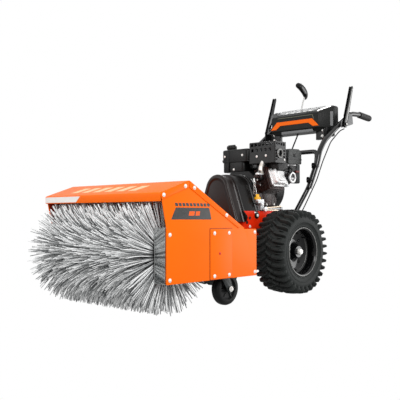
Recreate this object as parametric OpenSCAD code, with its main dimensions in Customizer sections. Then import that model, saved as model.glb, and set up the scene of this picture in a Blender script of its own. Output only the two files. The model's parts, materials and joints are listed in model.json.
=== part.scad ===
// Walk-behind power sweeper: a petrol engine on a two-wheeled chassis drives a
// rotary wafer brush in a hood that swings left and right on a vertical pivot.
// Millimetres. +Z is up, -Y is forward and +X is the operator's left-hand side.
// Parts are laid out from the wheel axle line, then moved back by axle_back so
// that the origin lies on the ground under the middle of the machine.

/* [Whole machine] */
// Distance of the wheel axle line behind the middle of the machine
axle_back = 133; // [130:0.5:136]

/* [Wheels] */
// Outer radius of the drive tyres
tyre_r = 203; // [198:1:206]
// Width of each drive tyre
tyre_w = 165; // [150:1:168]
// Distance from the middle of the machine to the middle of a tyre
tyre_x = 252; // [250:1:256]
// Radius of the rim flanges, for an 8 inch rim
rim_r = 115; // [112:0.5:118]
// Radius of the wheel axle
axle_r = 12.7; // [12:0.1:13]

/* [Brush] */
// Radius over the bristle tips
brush_r = 224; // [220:0.5:225]
// Half of the length of the row of bristle wafers
brush_half = 306; // [290:1:308]
// Distance of the brush axis ahead of the wheel axle
brush_ahead = 864; // [862:0.5:866]
// Number of bristle wafers on the core
wafers = 22; // [14:1:26]
// Radius of the core tube
core_r = 70; // [60:1:76]

/* [Hood] */
// Half of the width over the two side plates
hood_half = 373; // [372:0.5:374]
// Thickness of the hood and side plate steel
sheet_t = 3; // [2:0.5:3]
// Width of the flange that laps over each side plate
lap_w = 24; // [18:1:28]

/* [Casters] */
// Radius of the caster wheels
caster_r = 70; // [66:1:70]
// Distance from a caster's swivel axis back to its wheel axle
caster_trail = 45; // [40:1:45]

/* [Engine and drive] */
// Height of the crankshaft above the ground
crank_z = 510; // [508:1:512]
// Height of the brush drive and traction disc shafts
shaft_z = 270; // [268:1:272]
// Tilt of the cylinder above the horizontal, in degrees
cylinder_tilt = 18; // [15:1:20]

/* [Handles] */
// Radius of the upper handlebar tubes
bar_r = 14; // [12:0.5:14]
// Distance from the middle of the machine to each grip
grip_x = 235; // [230:1:240]

/* [Hidden] */
$fn = 48;
weld = 0.5;
eps = 0.01;
bearing_gap = 0.05;

steel = "dimgray";
orange = "darkorange";
red = "orangered";
black = [0.12, 0.12, 0.12];
silver = "silver";

wall = 3;
hood_in = hood_half - sheet_t;
pivot_y = -320;

// ---- General helpers ----

// Moves a part from axle-based coordinates to the machine's frame
module place() { translate([0, axle_back, 0]) children(); }

// Extrudes a [y, z] outline along X, or an [x, z] outline along Y
module along_x(x0, len) { translate([x0, 0, 0]) rotate([90, 0, 90]) linear_extrude(len) children(); }
module along_y(y0, len) { translate([0, y0 + len, 0]) rotate([90, 0, 0]) linear_extrude(len) children(); }

// A block given by its lowest and highest corners
module block(a, b) { translate(a) cube(b - a); }

// Round bars along each axis, from one coordinate to another
module bar_x(r, x0, x1, y, z) { translate([x0, y, z]) rotate([0, 90, 0]) cylinder(r = r, h = x1 - x0); }
module bar_y(r, y0, y1, x, z) { translate([x, y1, z]) rotate([90, 0, 0]) cylinder(r = r, h = y1 - y0); }
module bar_z(r, z0, z1, x, y) { translate([x, y, z0]) cylinder(r = r, h = z1 - z0); }

module both_sides() { children(); mirror([1, 0, 0]) children(); }

function unit(v) = v / norm(v);

// A polyline given a thickness t on its left-hand side, with mitred corners
function seg_n(p, i) = let (d = unit(p[i + 1] - p[i])) [-d[1], d[0]];
function mitre(p, i, t) =
  i == 0 ? p[0] + t * seg_n(p, 0)
  : i == len(p) - 1 ? p[i] + t * seg_n(p, i - 1)
  : let (a = seg_n(p, i - 1), b = seg_n(p, i)) p[i] + t * (a + b) / (1 + a * b);
function strip(p, t) = concat(p, [for (i = [len(p) - 1:-1:0]) mitre(p, i, t)]);

// An arch outline: straight flanks from the foot up to a round crown
function arch(foot, z0, r, top) =
  let (
    c = top - r,
    d = norm([foot, z0 - c]),
    a0 = atan2(z0 - c, foot) + acos(r / d)
  )
  concat(
    [[foot, z0]],
    [for (i = [0:12]) let (a = a0 + (180 - 2 * a0) * i / 12) [r * cos(a), c + r * sin(a)]],
    [[-foot, z0]]
  );

// The outline round two pulleys on one vertical line, for a belt's inner or outer face
function belt_outline(r_top, z_top, r_low, z_low) =
  let (a = asin((r_low - r_top) / (z_top - z_low)))
  concat(
    [for (i = [0:16]) let (t = a + (180 - 2 * a) * i / 16) [r_top * cos(t), z_top + r_top * sin(t)]],
    [for (i = [0:16]) let (t = 180 - a + (180 + 2 * a) * i / 16) [r_low * cos(t), z_low + r_low * sin(t)]]
  );

// Corners of a route rounded by Bezier curves that start a distance d from each corner
function rounded(p, d, n) = concat(
  [p[0]],
  [for (i = [1:len(p) - 2]) for (k = [0:n])
    let (a = p[i] + d * unit(p[i - 1] - p[i]), b = p[i] + d * unit(p[i + 1] - p[i]), t = k / n)
      (1 - t) * (1 - t) * a + 2 * t * (1 - t) * p[i] + t * t * b],
  [p[len(p) - 1]]
);

// Tube swept along a route, its rings carried along without twist
function tangent(p, i) = unit(p[min(i + 1, len(p) - 1)] - p[max(i - 1, 0)]);
function carried(p, i) =
  let (t = tangent(p, i), n = i == 0 ? cross(t, [0.31, 0.17, 0.93]) : carried(p, i - 1))
  unit(n - t * (n * t));
module sweep(p, r, sides = 16) {
  rings = len(p);
  points = [
    for (i = [0:rings - 1])
      let (t = tangent(p, i), u = carried(p, i), v = cross(t, u))
      for (k = [0:sides - 1]) p[i] + r * cos(360 * k / sides) * u + r * sin(360 * k / sides) * v
  ];
  walls = [
    for (i = [0:rings - 2]) for (k = [0:sides - 1])
      let (a = i * sides + k, b = i * sides + (k + 1) % sides)
      [a, a + sides, b + sides, b]
  ];
  ends = [[for (k = [0:sides - 1]) k], [for (k = [sides - 1:-1:0]) (rings - 1) * sides + k]];
  polyhedron(points, concat(walls, ends), convexity = 6);
}

// Rectangle with cut corners, centred on the origin
module cut_rect(w, h, c) {
  polygon([
    [-w / 2 + c, -h / 2], [w / 2 - c, -h / 2], [w / 2, -h / 2 + c], [w / 2, h / 2 - c],
    [w / 2 - c, h / 2], [-w / 2 + c, h / 2], [-w / 2, h / 2 - c], [-w / 2, -h / 2 + c]
  ]);
}

// ---- Chassis ----

side_outline = [
  [-200, 112], [172, 112], [172, 300], [160, 330], [96, 348], [66, 372], [46, 398], [-200, 398]
];
chassis_in = 122;
deck_z = 398;
disc_y = -128;

module chassis_frame() color(red) place() difference() {
  union() {
    both_sides() along_x(chassis_in, wall) polygon(side_outline);
    block([-chassis_in - weld, -150, deck_z - wall], [chassis_in + weld, 46, deck_z]);
    block([-chassis_in - weld, -200, 112], [chassis_in + weld, -197, deck_z]);
    block([-chassis_in - weld, 169, 112], [chassis_in + weld, 172, 300]);
    block([-chassis_in - weld, -198, 112], [chassis_in + weld, 170, 115]);
    block([-chassis_in - weld, -158, 113], [chassis_in + weld, -150, deck_z - 2]);
  }
  bar_x(19, -150, 150, 0, tyre_r);
  bar_x(14, -150, 150, pinion_y, pinion_z);
  bar_y(20, -205, -190, 0, shaft_z);
  bar_y(14, -165, -145, 0, shaft_z);
  bar_x(15, -150, 150, -103, 394);
  for (p = [[-152, 366], [-175, 345]]) bar_x(5, -150, 150, p[0], p[1]);
}

gear_dist = 90;
pinion_y = -gear_dist * sin(42);
pinion_z = tyre_r + gear_dist * cos(42);

module flanged_bush(r, ro, rf) {
  rotate_extrude() polygon([[r, -3], [rf, -3], [rf, 0], [ro, 0], [ro, 8], [r, 8]]);
}

module chassis_bearings() color(silver) place() {
  both_sides() {
    translate([125, 0, tyre_r]) rotate([0, -90, 0]) flanged_bush(axle_r + bearing_gap, 19, 28);
    translate([125, pinion_y, pinion_z]) rotate([0, -90, 0]) flanged_bush(8 + bearing_gap, 14, 20);
  }
  translate([0, -200, shaft_z]) rotate([-90, 0, 0]) flanged_bush(8 + bearing_gap, 20, 30);
  translate([0, -158, shaft_z]) rotate([-90, 0, 0]) flanged_bush(8 + bearing_gap, 14, 24);
}

module swivel_bracket() color(steel) place() difference() {
  union() {
    both_sides() block([84, -345, 196], [90, -200, 330]);
    block([-90, -345, 324], [90, -285, 330]);
    block([-90, -345, 196], [90, -285, 202]);
    block([-85, -292, 201], [85, -286, 325]);
    bar_y(16, -296, -280, 0, shaft_z);
    bar_z(10, 329, 354, 0, pivot_y);
    bar_z(10, 171, 197, 0, pivot_y);
    bar_z(16, 342, 350, 0, pivot_y);
    bar_z(16, 175, 183, 0, pivot_y);
  }
  bar_y(8 + bearing_gap, -300, -275, 0, shaft_z);
  bar_y(21, -345, -295, 0, shaft_z);
}

// Hexagon head with a washer, standing along +X on the plane x = 0
module bolt_head(r = 8) {
  rotate([0, 90, 0]) {
    cylinder(r = r * 1.25, h = 1.5);
    cylinder(r = r, h = 6, $fn = 6);
  }
}

// Bolts in the chassis sides, and the wing knobs and studs that clamp the handlebars
module chassis_fasteners() color(silver) place() both_sides() {
  translate([125, -103, 376]) bolt_head(7);
  for (p = [[-175, 320], [-140, 300], [-180, 160], [150, 140]])
    translate([125, p[0], p[1]]) bolt_head(5);
  for (p = [[207, 253, 560], [222, 278, 634]]) {
    bar_y(11, p[1] - 32, p[1] - 14.2, p[0], p[2]);
    bar_y(4, p[1] - 42, p[1] - 31, p[0], p[2]);
  }
}

// ---- Engine ----

plate_y = -88;

module engine_plate() color(silver) place() difference() {
  along_y(plate_y, 5) polygon(arch(128, deck_z, 86, 582));
  bar_y(30, plate_y - 1, plate_y + 6, 0, crank_z);
}

crank_outline = [
  [-88, 404], [90, 404], [105, 440], [105, 560], [60, 596], [-50, 596], [-100, 560], [-100, 440]
];

// Puts children on the cylinder's axis: local +X runs outward along the bore
module on_cylinder() { translate([0, 0, crank_z]) rotate([0, -cylinder_tilt, 0]) children(); }

module crankcase() color(black) place() difference() {
  union() {
    along_y(plate_y + 5, 158) polygon(crank_outline);
    block([-92, -70, deck_z], [95, 40, 406]);
    on_cylinder() {
      block([60, -50, -50], [150, 50, 50]);
      for (i = [0:5]) block([104 + 8 * i, -60, -58], [107 + 8 * i, 60, 58]);
    }
    block([108, -76, 552], [138, -48, 562]);
  }
  bar_y(15, plate_y, 80, 0, crank_z);
}

module cylinder_head() color(silver) place() on_cylinder() {
  along_x(150, 14) cut_rect(132, 116, 14);
  along_x(164, 34) cut_rect(94, 88, 16);
  along_x(198, 8) cut_rect(74, 68, 14);
  for (y = [-56, 56], z = [-48, 48]) bar_x(6, 163, 172, y, z);
  bar_x(8, 163, 190, 58, 0);
}

blower_y = 75;
rope_x = 76;
rope_z = crank_z + 38;

// The fan housing with the vented starter cover bolted on behind it
module blower_housing() color(black) place() {
  difference() {
    union() {
      bar_y(118, blower_y, 138, 0, crank_z);
      block([-118, blower_y, crank_z - 60], [-60, 138, 590]);
    }
    bar_y(112, blower_y - 1, 134, 0, crank_z);
    bar_y(70, 130, 140, 0, crank_z);
  }
  difference() {
    union() {
      bar_y(88, 138, 160, 0, crank_z);
      bar_y(70, 159, 172, 0, crank_z);
      block([50, 138, crank_z + 20], [96, 170, crank_z + 56]);
    }
    bar_y(80, 136, 157, 0, crank_z);
    for (i = [0:11]) rotate_about_crank(i * 30) block([30, 155, -5], [58, 175, 5]);
    bar_y(5, 136, 175, rope_x, rope_z);
  }
}

module rotate_about_crank(a) { translate([0, 0, crank_z]) rotate([0, a, 0]) children(); }

tank_lo = [-145, -55, 598];
tank_hi = [34, 74, 716];
cap_x = -112;
cap_y = -10;

module fuel_tank() color(black) place() {
  difference() {
    union() {
      translate([(tank_lo[0] + tank_hi[0]) / 2, (tank_lo[1] + tank_hi[1]) / 2, tank_lo[2]])
        linear_extrude(tank_hi[2] - tank_lo[2]) cut_rect(179, 129, 22);
      bar_z(22, 715, 724, cap_x, cap_y);
    }
    translate([(tank_lo[0] + tank_hi[0]) / 2, (tank_lo[1] + tank_hi[1]) / 2, tank_lo[2] + 4])
      linear_extrude(110) cut_rect(171, 121, 19);
    bar_z(18, 700, 730, cap_x, cap_y);
  }
  for (x = [-40, 10]) block([x - 9, -40, 596], [x + 9, 40, 599]);
}

module fuel_cap() color(black) place() difference() {
  bar_z(26, 722, 746, cap_x, cap_y);
  bar_z(22.4, 720, 740, cap_x, cap_y);
}

guard_lo = [41, -55, 634];
guard_hi = [203, 35, 740];
outlet_y = -18;
outlet_z = 680;

module muffler() color(steel) place() difference() {
  union() {
    translate([0, -10, 690]) along_x(58, 130) cut_rect(64, 74, 18);
    bar_x(16, 180, 206, outlet_y, outlet_z);
    sweep(rounded([[123, -66, 562], [123, -70, 604], [122, -36, 620], [122, -30, 660]], 12, 4), 9, 12);
    for (x = [84, 130]) bar_y(4, -52.9, -40, x, 672);
  }
  bar_x(13, 184, 210, outlet_y, outlet_z);
}

module muffler_guard() color(black) place() difference() {
  block(guard_lo, guard_hi);
  block(guard_lo + [2, 2, -2], guard_hi - [2, -2, 2]);
  bar_x(19, 195, 210, outlet_y, outlet_z);
  for (i = [0:3]) bar_y(5.5, -60, -50, 74 + 21 * i, 706);
  for (i = [0:5]) block([58 + 22 * i, -40, 735], [68 + 22 * i, 15, 745]);
  for (i = [0:2]) block([195, -50, 652 + 24 * i], [210, -40, 662 + 24 * i]);
}

module intake_box() color(black) place() difference() {
  translate([0, 154, 669]) along_x(120, 55) cut_rect(108, 74, 8);
  translate([0, 154, 669]) along_x(123, 49) cut_rect(102, 68, 6);
  block([124, 90, 665], [140, 101.5, 690]);
}

module carburettor() color(silver) place() {
  block([126, 66.3, 548], [160, 78, 590]);
  bar_y(15, 77, 150, 141, 570);
  block([124, 92, 544], [158, 132, 596]);
  bar_z(16, 522, 545, 141, 112);
  bar_z(12, 595, 632, 141, 135);
}

module control_panel() color(black) place() difference() {
  block([168, 107, 543], [172, 195, 632]);
  bar_x(4 + bearing_gap, 165, 175, 118, 563);
  bar_x(6 + bearing_gap, 165, 175, 165, 600);
}

module choke_knob() color(silver) place() {
  bar_x(4, 162, 174, 118, 563);
  difference() {
    bar_x(15, 173, 184, 118, 563);
    bar_x(10, 180, 190, 118, 563);
  }
  block([180, 105, 561], [184, 131, 565]);
}

module ignition_key() color(red) place() {
  bar_x(6, 152, 178, 165, 600);
  block([177, 152, 594], [185, 178, 606]);
}

oil_x = 127;
oil_y = -97;
// Filler neck casting on the side of the crankcase, and the drain pipe that leads back from it
module oil_filler() color(silver) place() {
  difference() {
    union() {
      block([105, -82, 402], [133, -55, 448]);
      block([116, -108, 436], [139, -60, 448]);
      bar_z(12, 447, 452, oil_x, oil_y);
    }
    bar_z(8 + bearing_gap, 430, 455, oil_x, oil_y);
  }
  bar_y(6, -55, 100, 118, 410);
  bar_y(9, 99, 114, 118, 410);
}

module oil_cap() color("gold") place() {
  bar_z(8, 437, 453, oil_x, oil_y);
  bar_z(14, 452.5, 462, oil_x, oil_y);
  block([oil_x - 4, oil_y - 15, 461], [oil_x + 4, oil_y + 15, 472]);
}

module recoil_handle() color(black) place() {
  bar_y(4, 150, 180, rope_x, rope_z);
  bar_x(9, rope_x - 30, rope_x + 30, 188, rope_z);
}

// ---- Belt drive ----

cover_t = 3;
// The shell of one step of the cover: half width at the foot, foot height, crown radius, top
main_arch = [124, deck_z + 0.2, 84, 576];
front_arch = [126, 346, 72, 572];
function arch_of(a, t) = arch(a[0] - 1.06 * t, a[1] - (t > 0 ? 1 : 0), a[2] - t, a[3] - t);

module belt_cover() color(black) place() difference() {
  union() {
    along_y(-196, 107.8) polygon(arch_of(main_arch, 0));
    along_y(-257, 62) polygon(arch_of(front_arch, 0));
  }
  along_y(-193, 106) polygon(arch_of(main_arch, cover_t));
  along_y(-254, 70) polygon(arch_of(front_arch, cover_t));
  // Room for the front plate of the chassis behind the lower part of the front step
  block([-140, -201, 340], [140, -180, deck_z + 0.2]);
}

belt_rows = [
  // y of the belt's middle, engine pulley radius, driven pulley radius
  [-239, 36, 75],
  [-177, 30, 60]
];
groove = 6;
belt_w = 10;
belt_t = 8;
// Depth of the belt's inner face below the pulley rim, with slack because the clutches are released
belt_sink = groove - 1.1;

module belts() color(black) place() for (b = belt_rows) along_y(b[0] - belt_w / 2, belt_w) difference() {
  polygon(belt_outline(b[1] - belt_sink + belt_t, crank_z, b[2] - belt_sink + belt_t, shaft_z));
  polygon(belt_outline(b[1] - belt_sink, crank_z, b[2] - belt_sink, shaft_z));
}

// A pulley's half section, turned about the Z axis and centred on z = 0
module pulley(r, bore) {
  rotate_extrude() polygon([
    [bore, -9], [r, -9], [r, -5.6], [r - groove, -5.6], [r - groove, 5.6], [r, 5.6], [r, 9], [bore, 9]
  ]);
}

module engine_pulley() color(steel) place() {
  for (b = belt_rows) translate([0, b[0], crank_z]) rotate([90, 0, 0]) pulley(b[1], 9.5);
  difference() {
    bar_y(15, -230, -186, 0, crank_z);
    bar_y(9.5, -231, -184, 0, crank_z);
  }
}

module crankshaft() color(silver) place() {
  bar_y(9.5, -250, -100, 0, crank_z);
  bar_y(14.95, -101, 92, 0, crank_z);
  bar_y(95, 92, 110, 0, crank_z);
  bar_y(12, 109, 128, 0, crank_z);
}

module brush_drive_shaft() color(steel) place() {
  bar_y(8, -312, -197, 0, shaft_z);
  translate([0, belt_rows[0][0], shaft_z]) rotate([90, 0, 0]) pulley(belt_rows[0][2], 7.9);
  translate([0, pivot_y + 8, shaft_z]) sphere(r = 10);
}

module traction_disc() color(steel) place() {
  bar_y(8, -195, -120.5, 0, shaft_z);
  translate([0, belt_rows[1][0], shaft_z]) rotate([90, 0, 0]) pulley(belt_rows[1][2], 7.9);
  bar_y(70, disc_y, -120.5, 0, shaft_z);
}

// ---- Traction gears, axle and wheels ----

gear_m = 3;

// Spur gear outline with straight-sided teeth, a little thin so that it runs with backlash
module gear_outline(teeth, r_pitch) {
  step = 360 / teeth;
  polygon([for (i = [0:teeth - 1]) for (p = [
    [-0.30, -1.15], [-0.16, 0.85], [0.16, 0.85], [0.30, -1.15]
  ]) let (a = (i + p[0] * 0.92) * step, r = r_pitch + p[1] * gear_m) [r * cos(a), r * sin(a)]]);
}

pinion_teeth = 12;
gear_teeth = 48;

module pinion_shaft() color(steel) place() {
  bar_x(8, -124, 124, pinion_y, pinion_z);
  translate([60, pinion_y, pinion_z]) rotate([90, 0, 90])
    // One tooth gap points at the axle, to mesh with a tooth of the big gear
    linear_extrude(14) rotate(-48 + 180 / pinion_teeth) gear_outline(pinion_teeth, 18);
  difference() {
    bar_x(58, -36, -28, pinion_y, pinion_z);
    bar_x(7.9, -37, -27, pinion_y, pinion_z);
  }
}

module wheel_axle() color(silver) place() {
  both_sides() bar_x(axle_r, 0, 308, 0, tyre_r);
  translate([60, 0, tyre_r]) rotate([90, 0, 90]) linear_extrude(14) difference() {
    rotate(132) gear_outline(gear_teeth, 72);
    circle(r = axle_r - 0.1);
  }
}

half_rim = 70;
module rim() color(black) place() difference() {
  union() {
    translate([tyre_x, 0, tyre_r]) rotate([0, 90, 0]) rotate_extrude() polygon([
      [rim_r, -half_rim], [rim_r, -half_rim + 5], [98, -half_rim + 14], [94, 20], [98, half_rim - 14],
      [rim_r, half_rim - 5], [rim_r, half_rim], [rim_r - 4, half_rim], [rim_r - 4, half_rim - 3],
      [93, half_rim - 14], [89, 24], [60, 26], [38, 14], [24, 14], [24, 8], [90, 8],
      [93, -half_rim + 14], [rim_r - 4, -half_rim + 3], [rim_r - 4, -half_rim]
    ]);
    bar_x(24, 205, 300, 0, tyre_r);
  }
  bar_x(axle_r, 200, 310, 0, tyre_r);
}

module left_rim() { rim(); }
module right_rim() { mirror([1, 0, 0]) rim(); }

// Tyre section: bead seats on the rim, bulging walls and a squared knobbly shoulder
module tyre() color(black) place() translate([tyre_x, 0, tyre_r]) rotate([0, 90, 0])
  rotate_extrude() polygon([
    [rim_r - 16, -60], [rim_r - 2, -64], [rim_r + 3, -70], [140, -80], [165, -tyre_w / 2],
    [188, -78], [200, -66], [tyre_r, -40], [tyre_r, 40], [200, 66], [188, 78], [165, tyre_w / 2],
    [140, 80], [rim_r + 3, 70], [rim_r - 2, 64], [rim_r - 16, 60], [rim_r - 16, 54], [rim_r + 10, 56],
    [170, 66], [184, 40], [184, -40], [170, -66], [rim_r + 10, -56], [rim_r - 16, -54]
  ]);

module left_tyre() { tyre(); }
module right_tyre() { mirror([1, 0, 0]) tyre(); }

// ---- Handles and controls ----

bar_route = rounded([
  [200, 240, 519], [224, 284, 655], [225, 300, 712], [225, 352, 776], [230, 530, 898],
  [grip_x, 592, 944], [grip_x, 690, 950]
], 26, 4);
grip_start = [grip_x, 690, 950];
grip_end = [grip_x, 820, 941];
hoop_side = [[143, 110, 250], [143, 165, 355], [181, 261, 519], [205, 304, 655], [205, 308, 714]];
hoop_route = rounded(concat(hoop_side, [for (i = [4:-1:0]) [-hoop_side[i][0], hoop_side[i][1],
  hoop_side[i][2]]]), 24, 4);

// A round bar between two points in a plane of constant x
module bar_between(r, a, b) {
  d = b - a;
  translate(a) rotate([atan2(d[2], d[1]), 0, 0]) rotate([-90, 0, 0]) cylinder(r = r, h = norm(d));
}

module lower_handle() color(black) place() {
  sweep(hoop_route, 12, 14);
  both_sides() for (z = [275, 325]) translate([125, 110 + (z - 250) * 0.52, z])
    rotate([0, 90, 0]) cylinder(r = 9, h = 8);
}

module handlebars() color(black) both_sides() place() {
  sweep(bar_route, bar_r, 16);
  bar_between(bar_r - 0.4, grip_start - [0, 4, 0], grip_end - [0, 6, 0]);
}

// Rubber grips, closed at the end, over the last stretch of each bar
module handle_grips() color(black) place() both_sides() difference() {
  bar_between(17, grip_start + [0, 9, -0.6], grip_end);
  bar_between(bar_r - 0.4, grip_start + [0, -10, 0.7], grip_end - [0, 6, 0]);
}

lever_x = 262;
lever_pivot = [494, 871];
lever_top = [566, 1089];
lever_w = 16;

// Lever studs on the bars, and the brackets that carry the console between the bars
module handle_brackets() color(black) place() both_sides() {
  bar_x(10, 240, lever_x - lever_w / 2 - 0.5, lever_pivot[0], lever_pivot[1]);
  bar_x(6 - bearing_gap, 250, lever_x + 10, lever_pivot[0], lever_pivot[1]);
  bar_x(10, lever_x + lever_w / 2 + 0.5, lever_x + 14, lever_pivot[0], lever_pivot[1]);
  block([203, 396, 806], [207, 470, 852]);
  block([150, 430, 848], [204, 470, 852]);
  bar_x(7, 206, 213.5, 423, 824);
}

// A channel-section lever with a round hub and a lug for its cable
module clutch_lever() color(black) place() difference() {
  union() {
    along_x(lever_x - lever_w / 2, lever_w) polygon(strip([
      lever_pivot + [-6, -8], lever_pivot + [0, 16], lever_top + [-3, -6], lever_top
    ], -13));
    bar_x(13, lever_x - lever_w / 2, lever_x + lever_w / 2, lever_pivot[0], lever_pivot[1]);
    along_x(lever_x - lever_w / 2, 4) polygon([
      lever_pivot, lever_pivot + [4, -30], lever_pivot + [30, -16], lever_pivot + [22, 10]
    ]);
  }
  bar_x(6, 240, 290, lever_pivot[0], lever_pivot[1]);
  // The hollow of the channel, open to the rear
  along_x(lever_x - lever_w / 2 + 3, lever_w - 6) polygon(strip([
    lever_pivot + [8, 34], lever_top + [12, -4]
  ], -12));
}

module traction_lever() { clutch_lever(); }
module brush_lever() { mirror([1, 0, 0]) clutch_lever(); }

console_front = 156;
console_back = 207;
module console_plan(inset) {
  polygon([
    [-console_front + inset, 396 + inset], [console_front - inset, 396 + inset],
    [console_back - inset, 468 + inset], [console_back - inset, 520 - inset],
    [-console_back + inset, 520 - inset], [-console_back + inset, 468 + inset]
  ]);
}

// The panel slopes up to the rear, and its end faces drop at the corners
console_top = [[380, 938], [530, 983]];
module console_body(inset) intersection() {
  translate([0, 0, 852]) linear_extrude(200) console_plan(inset);
  along_x(-250, 500) polygon([
    [380, 800], [380, console_top[0][1] - inset], [530, console_top[1][1] - inset], [530, 800]
  ]);
}

module console() color(black) place() {
  console_shell();
  // Cross pin of the shift lever and the two plates that hold it off the rear wall
  bar_x(5, -8, 22, shift_y, shift_z);
  for (x = [-9, 18]) block([x, shift_y - 6, shift_z - 7], [x + 4, 518, shift_z + 7]);
}

module console_shell() difference() {
  console_body(0);
  translate([0, 0, -1]) console_body(wall);
  block([0, 402, 930], [16, 475, 1000]);
}

module console_trim() color(orange) place() along_y(392.5, 3.5) polygon([
  [-160, 866], [-118, 908], [118, 908], [160, 866], [124, 866], [95, 887], [-95, 887], [-124, 866]
]);

shift_y = 440;
shift_z = 900;

// The lever turns on a cross pin; its short rear arm works the shift rod
module shift_lever() color(silver) place() {
  difference() {
    union() {
      bar_x(10, 2, 14, shift_y, shift_z);
      along_x(-4, 8) polygon([[shift_y + 6, shift_z - 8], [shift_y + 8, shift_z + 6],
        [shift_y + 42, shift_z - 22], [shift_y + 32, shift_z - 36]]);
      sweep([[8, 440, 906], [8, 436, 975], [6, 456, 1040]], 4, 10);
      // The hand paddle leans over towards the operator's right
      translate([0, 448, 1036]) rotate([0, -28, 0]) hull() {
        cylinder(r = 9, h = 6);
        translate([-6, 0, 48]) scale([1, 0.55, 1]) sphere(r = 20, $fn = 24);
      }
    }
    bar_x(5 + bearing_gap, -5, 20, shift_y, shift_z);
  }
}

// Direction of the shift rod, from the chassis up to the console
rod_low = [-20, 141, 350];
rod_high = [-20, 474, 858];
module shift_rod() color(black) place() {
  bar_between(4, rod_low, rod_high);
  bar_x(7, -25, -4.3, rod_high[1], rod_high[2]);
}

// Clutch cables, held by clips all the way from the levers to the chassis
cable_route = rounded([
  [247, 514, 850], [240, 482, 838], [232, 400, 770], [226, 330, 660], [214, 290, 560], [178, 228, 420],
  [134, 180, 300], [134, 165, 240]
], 20, 3);
module clutch_cables() color(black) place() both_sides() sweep(cable_route, 3, 8);

// ---- Brush head ----

hood_line = [[-966, 428], [-966, 459], [-818, 509], [-495, 325]];
side_plate_outline = [
  [-935, 125], [-416, 125], [-416, 320], [-495, 321], [-818, 505], [-962.5, 456], [-935, 331]
];

module brush_hood() color(orange) place() {
  along_x(-hood_half, 2 * hood_half) polygon(strip(hood_line, -sheet_t));
  both_sides() along_x(hood_half, sheet_t) polygon(strip([
    [-966, 459], [-818, 509], [-520, 339]
  ], -lap_w));
}

module side_plate() color(orange) place() along_x(hood_in, sheet_t - eps) polygon(side_plate_outline);
module left_side_plate() { side_plate(); }
module right_side_plate() { mirror([1, 0, 0]) side_plate(); }

module side_access_covers() color(orange) place() both_sides()
  along_x(hood_half, 2) polygon([[-704, 127], [-575, 127], [-575, 324], [-704, 324]]);

module bristle_shields() color(black) place() both_sides() {
  block([312, -938, 128], [370, -935, 331]);
  block([367, -936, 128], [370, -904, 331]);
}

plate_bolts = [
  // y, z and how far the bolt stands out from the side plate
  [-951, 451, 3], [-841, 486, 3], [-793, 481, 3], [-609, 378, 3],
  [-918, 306, 0], [-918, 141, 0], [-680, 307, 2], [-593, 307, 2],
  [-680, 140, 2], [-593, 140, 2], [-427, 307, 0], [-427, 141, 0]
];
module head_bolts() color(silver) place() both_sides()
  for (b = plate_bolts) translate([hood_half + b[2], b[0], b[1]]) rotate([0, 90, 0]) {
    cylinder(r = 9, h = 1.2);
    cylinder(r1 = 7.5, r2 = 4.5, h = 4.2);
  }

caster_x = 275;
caster_y = -551;

// Rear panel, pivot lugs, caster shelves and bearing posts
module head_frame() color(steel) place() difference() {
  union() {
    block([-hood_in, -419, 128], [hood_in, -416, 319]);
    block([-40, -440, 319], [40, -416, 331]);
    block([-40, -440, 331], [40, pivot_y, 341]);
    bar_z(40, 331, 341, 0, pivot_y);
    block([-40, -440, 184], [40, pivot_y, 194]);
    bar_z(40, 184, 194, 0, pivot_y);
    both_sides() {
      block([225, -600, 172], [hood_in, -418, 176]);
      block([hood_in - 3, -600, 175], [hood_in, -418, 200]);
      bar_z(16, 154, 173, caster_x, caster_y);
      block([354, -brush_ahead - 35, brush_z - 35], [hood_in, -brush_ahead + 35, brush_z + 35]);
    }
    bar_x(20, -hood_in, -356, gearbox_y, shaft_z);
  }
  bar_z(10 + bearing_gap, 180, 345, 0, pivot_y);
  bar_y(24.5, -425, -410, 0, shaft_z);
  both_sides() {
    bar_z(8 + bearing_gap, 150, 180, caster_x, caster_y);
    bar_x(12 + bearing_gap, 345, 368, -brush_ahead, brush_z);
  }
  bar_x(8 + bearing_gap, -367, -350, gearbox_y, shaft_z);
}

brush_z = brush_r + 0.5;
gearbox_y = -461;

module head_gearbox() color(steel) place() difference() {
  union() {
    block([-45, -500, 230], [45, -419, 312]);
    bar_y(24, -419.5, -400, 0, shaft_z);
    bar_x(22, -60, -40, gearbox_y, shaft_z);
  }
  bar_y(8 + bearing_gap, -462, -399, 0, shaft_z);
  bar_x(8 + bearing_gap, -61, 10, gearbox_y, shaft_z);
}

module brush_cross_shaft() color(steel) place() {
  bar_x(8, -364, 0, gearbox_y, shaft_z);
  bar_x(small_sprocket_r, sprocket_x, sprocket_x + 10, gearbox_y, shaft_z);
}

sprocket_x = -350;
small_sprocket_r = 30;
big_sprocket_r = 45;
chain_t = 9;
chain_run = [brush_ahead + gearbox_y, shaft_z - brush_z];

// Roller chain from the cross shaft to the brush, drawn as a plain loop
module drive_chain() color(steel) place()
  translate([0, -brush_ahead, brush_z]) along_x(sprocket_x + 1, 8)
    rotate(-atan2(chain_run[0], chain_run[1])) difference() {
      polygon(belt_outline(small_sprocket_r + chain_t, norm(chain_run), big_sprocket_r + chain_t, 0));
      polygon(belt_outline(small_sprocket_r + 0.4, norm(chain_run), big_sprocket_r + 0.4, 0));
    }

// Rear half of the universal joint, and the shaft that it turns in the gearbox
module head_input_shaft() color(steel) place() {
  bar_y(8, -451, -334, 0, shaft_z);
  bar_y(15, -350, -334, 0, shaft_z);
}

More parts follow.
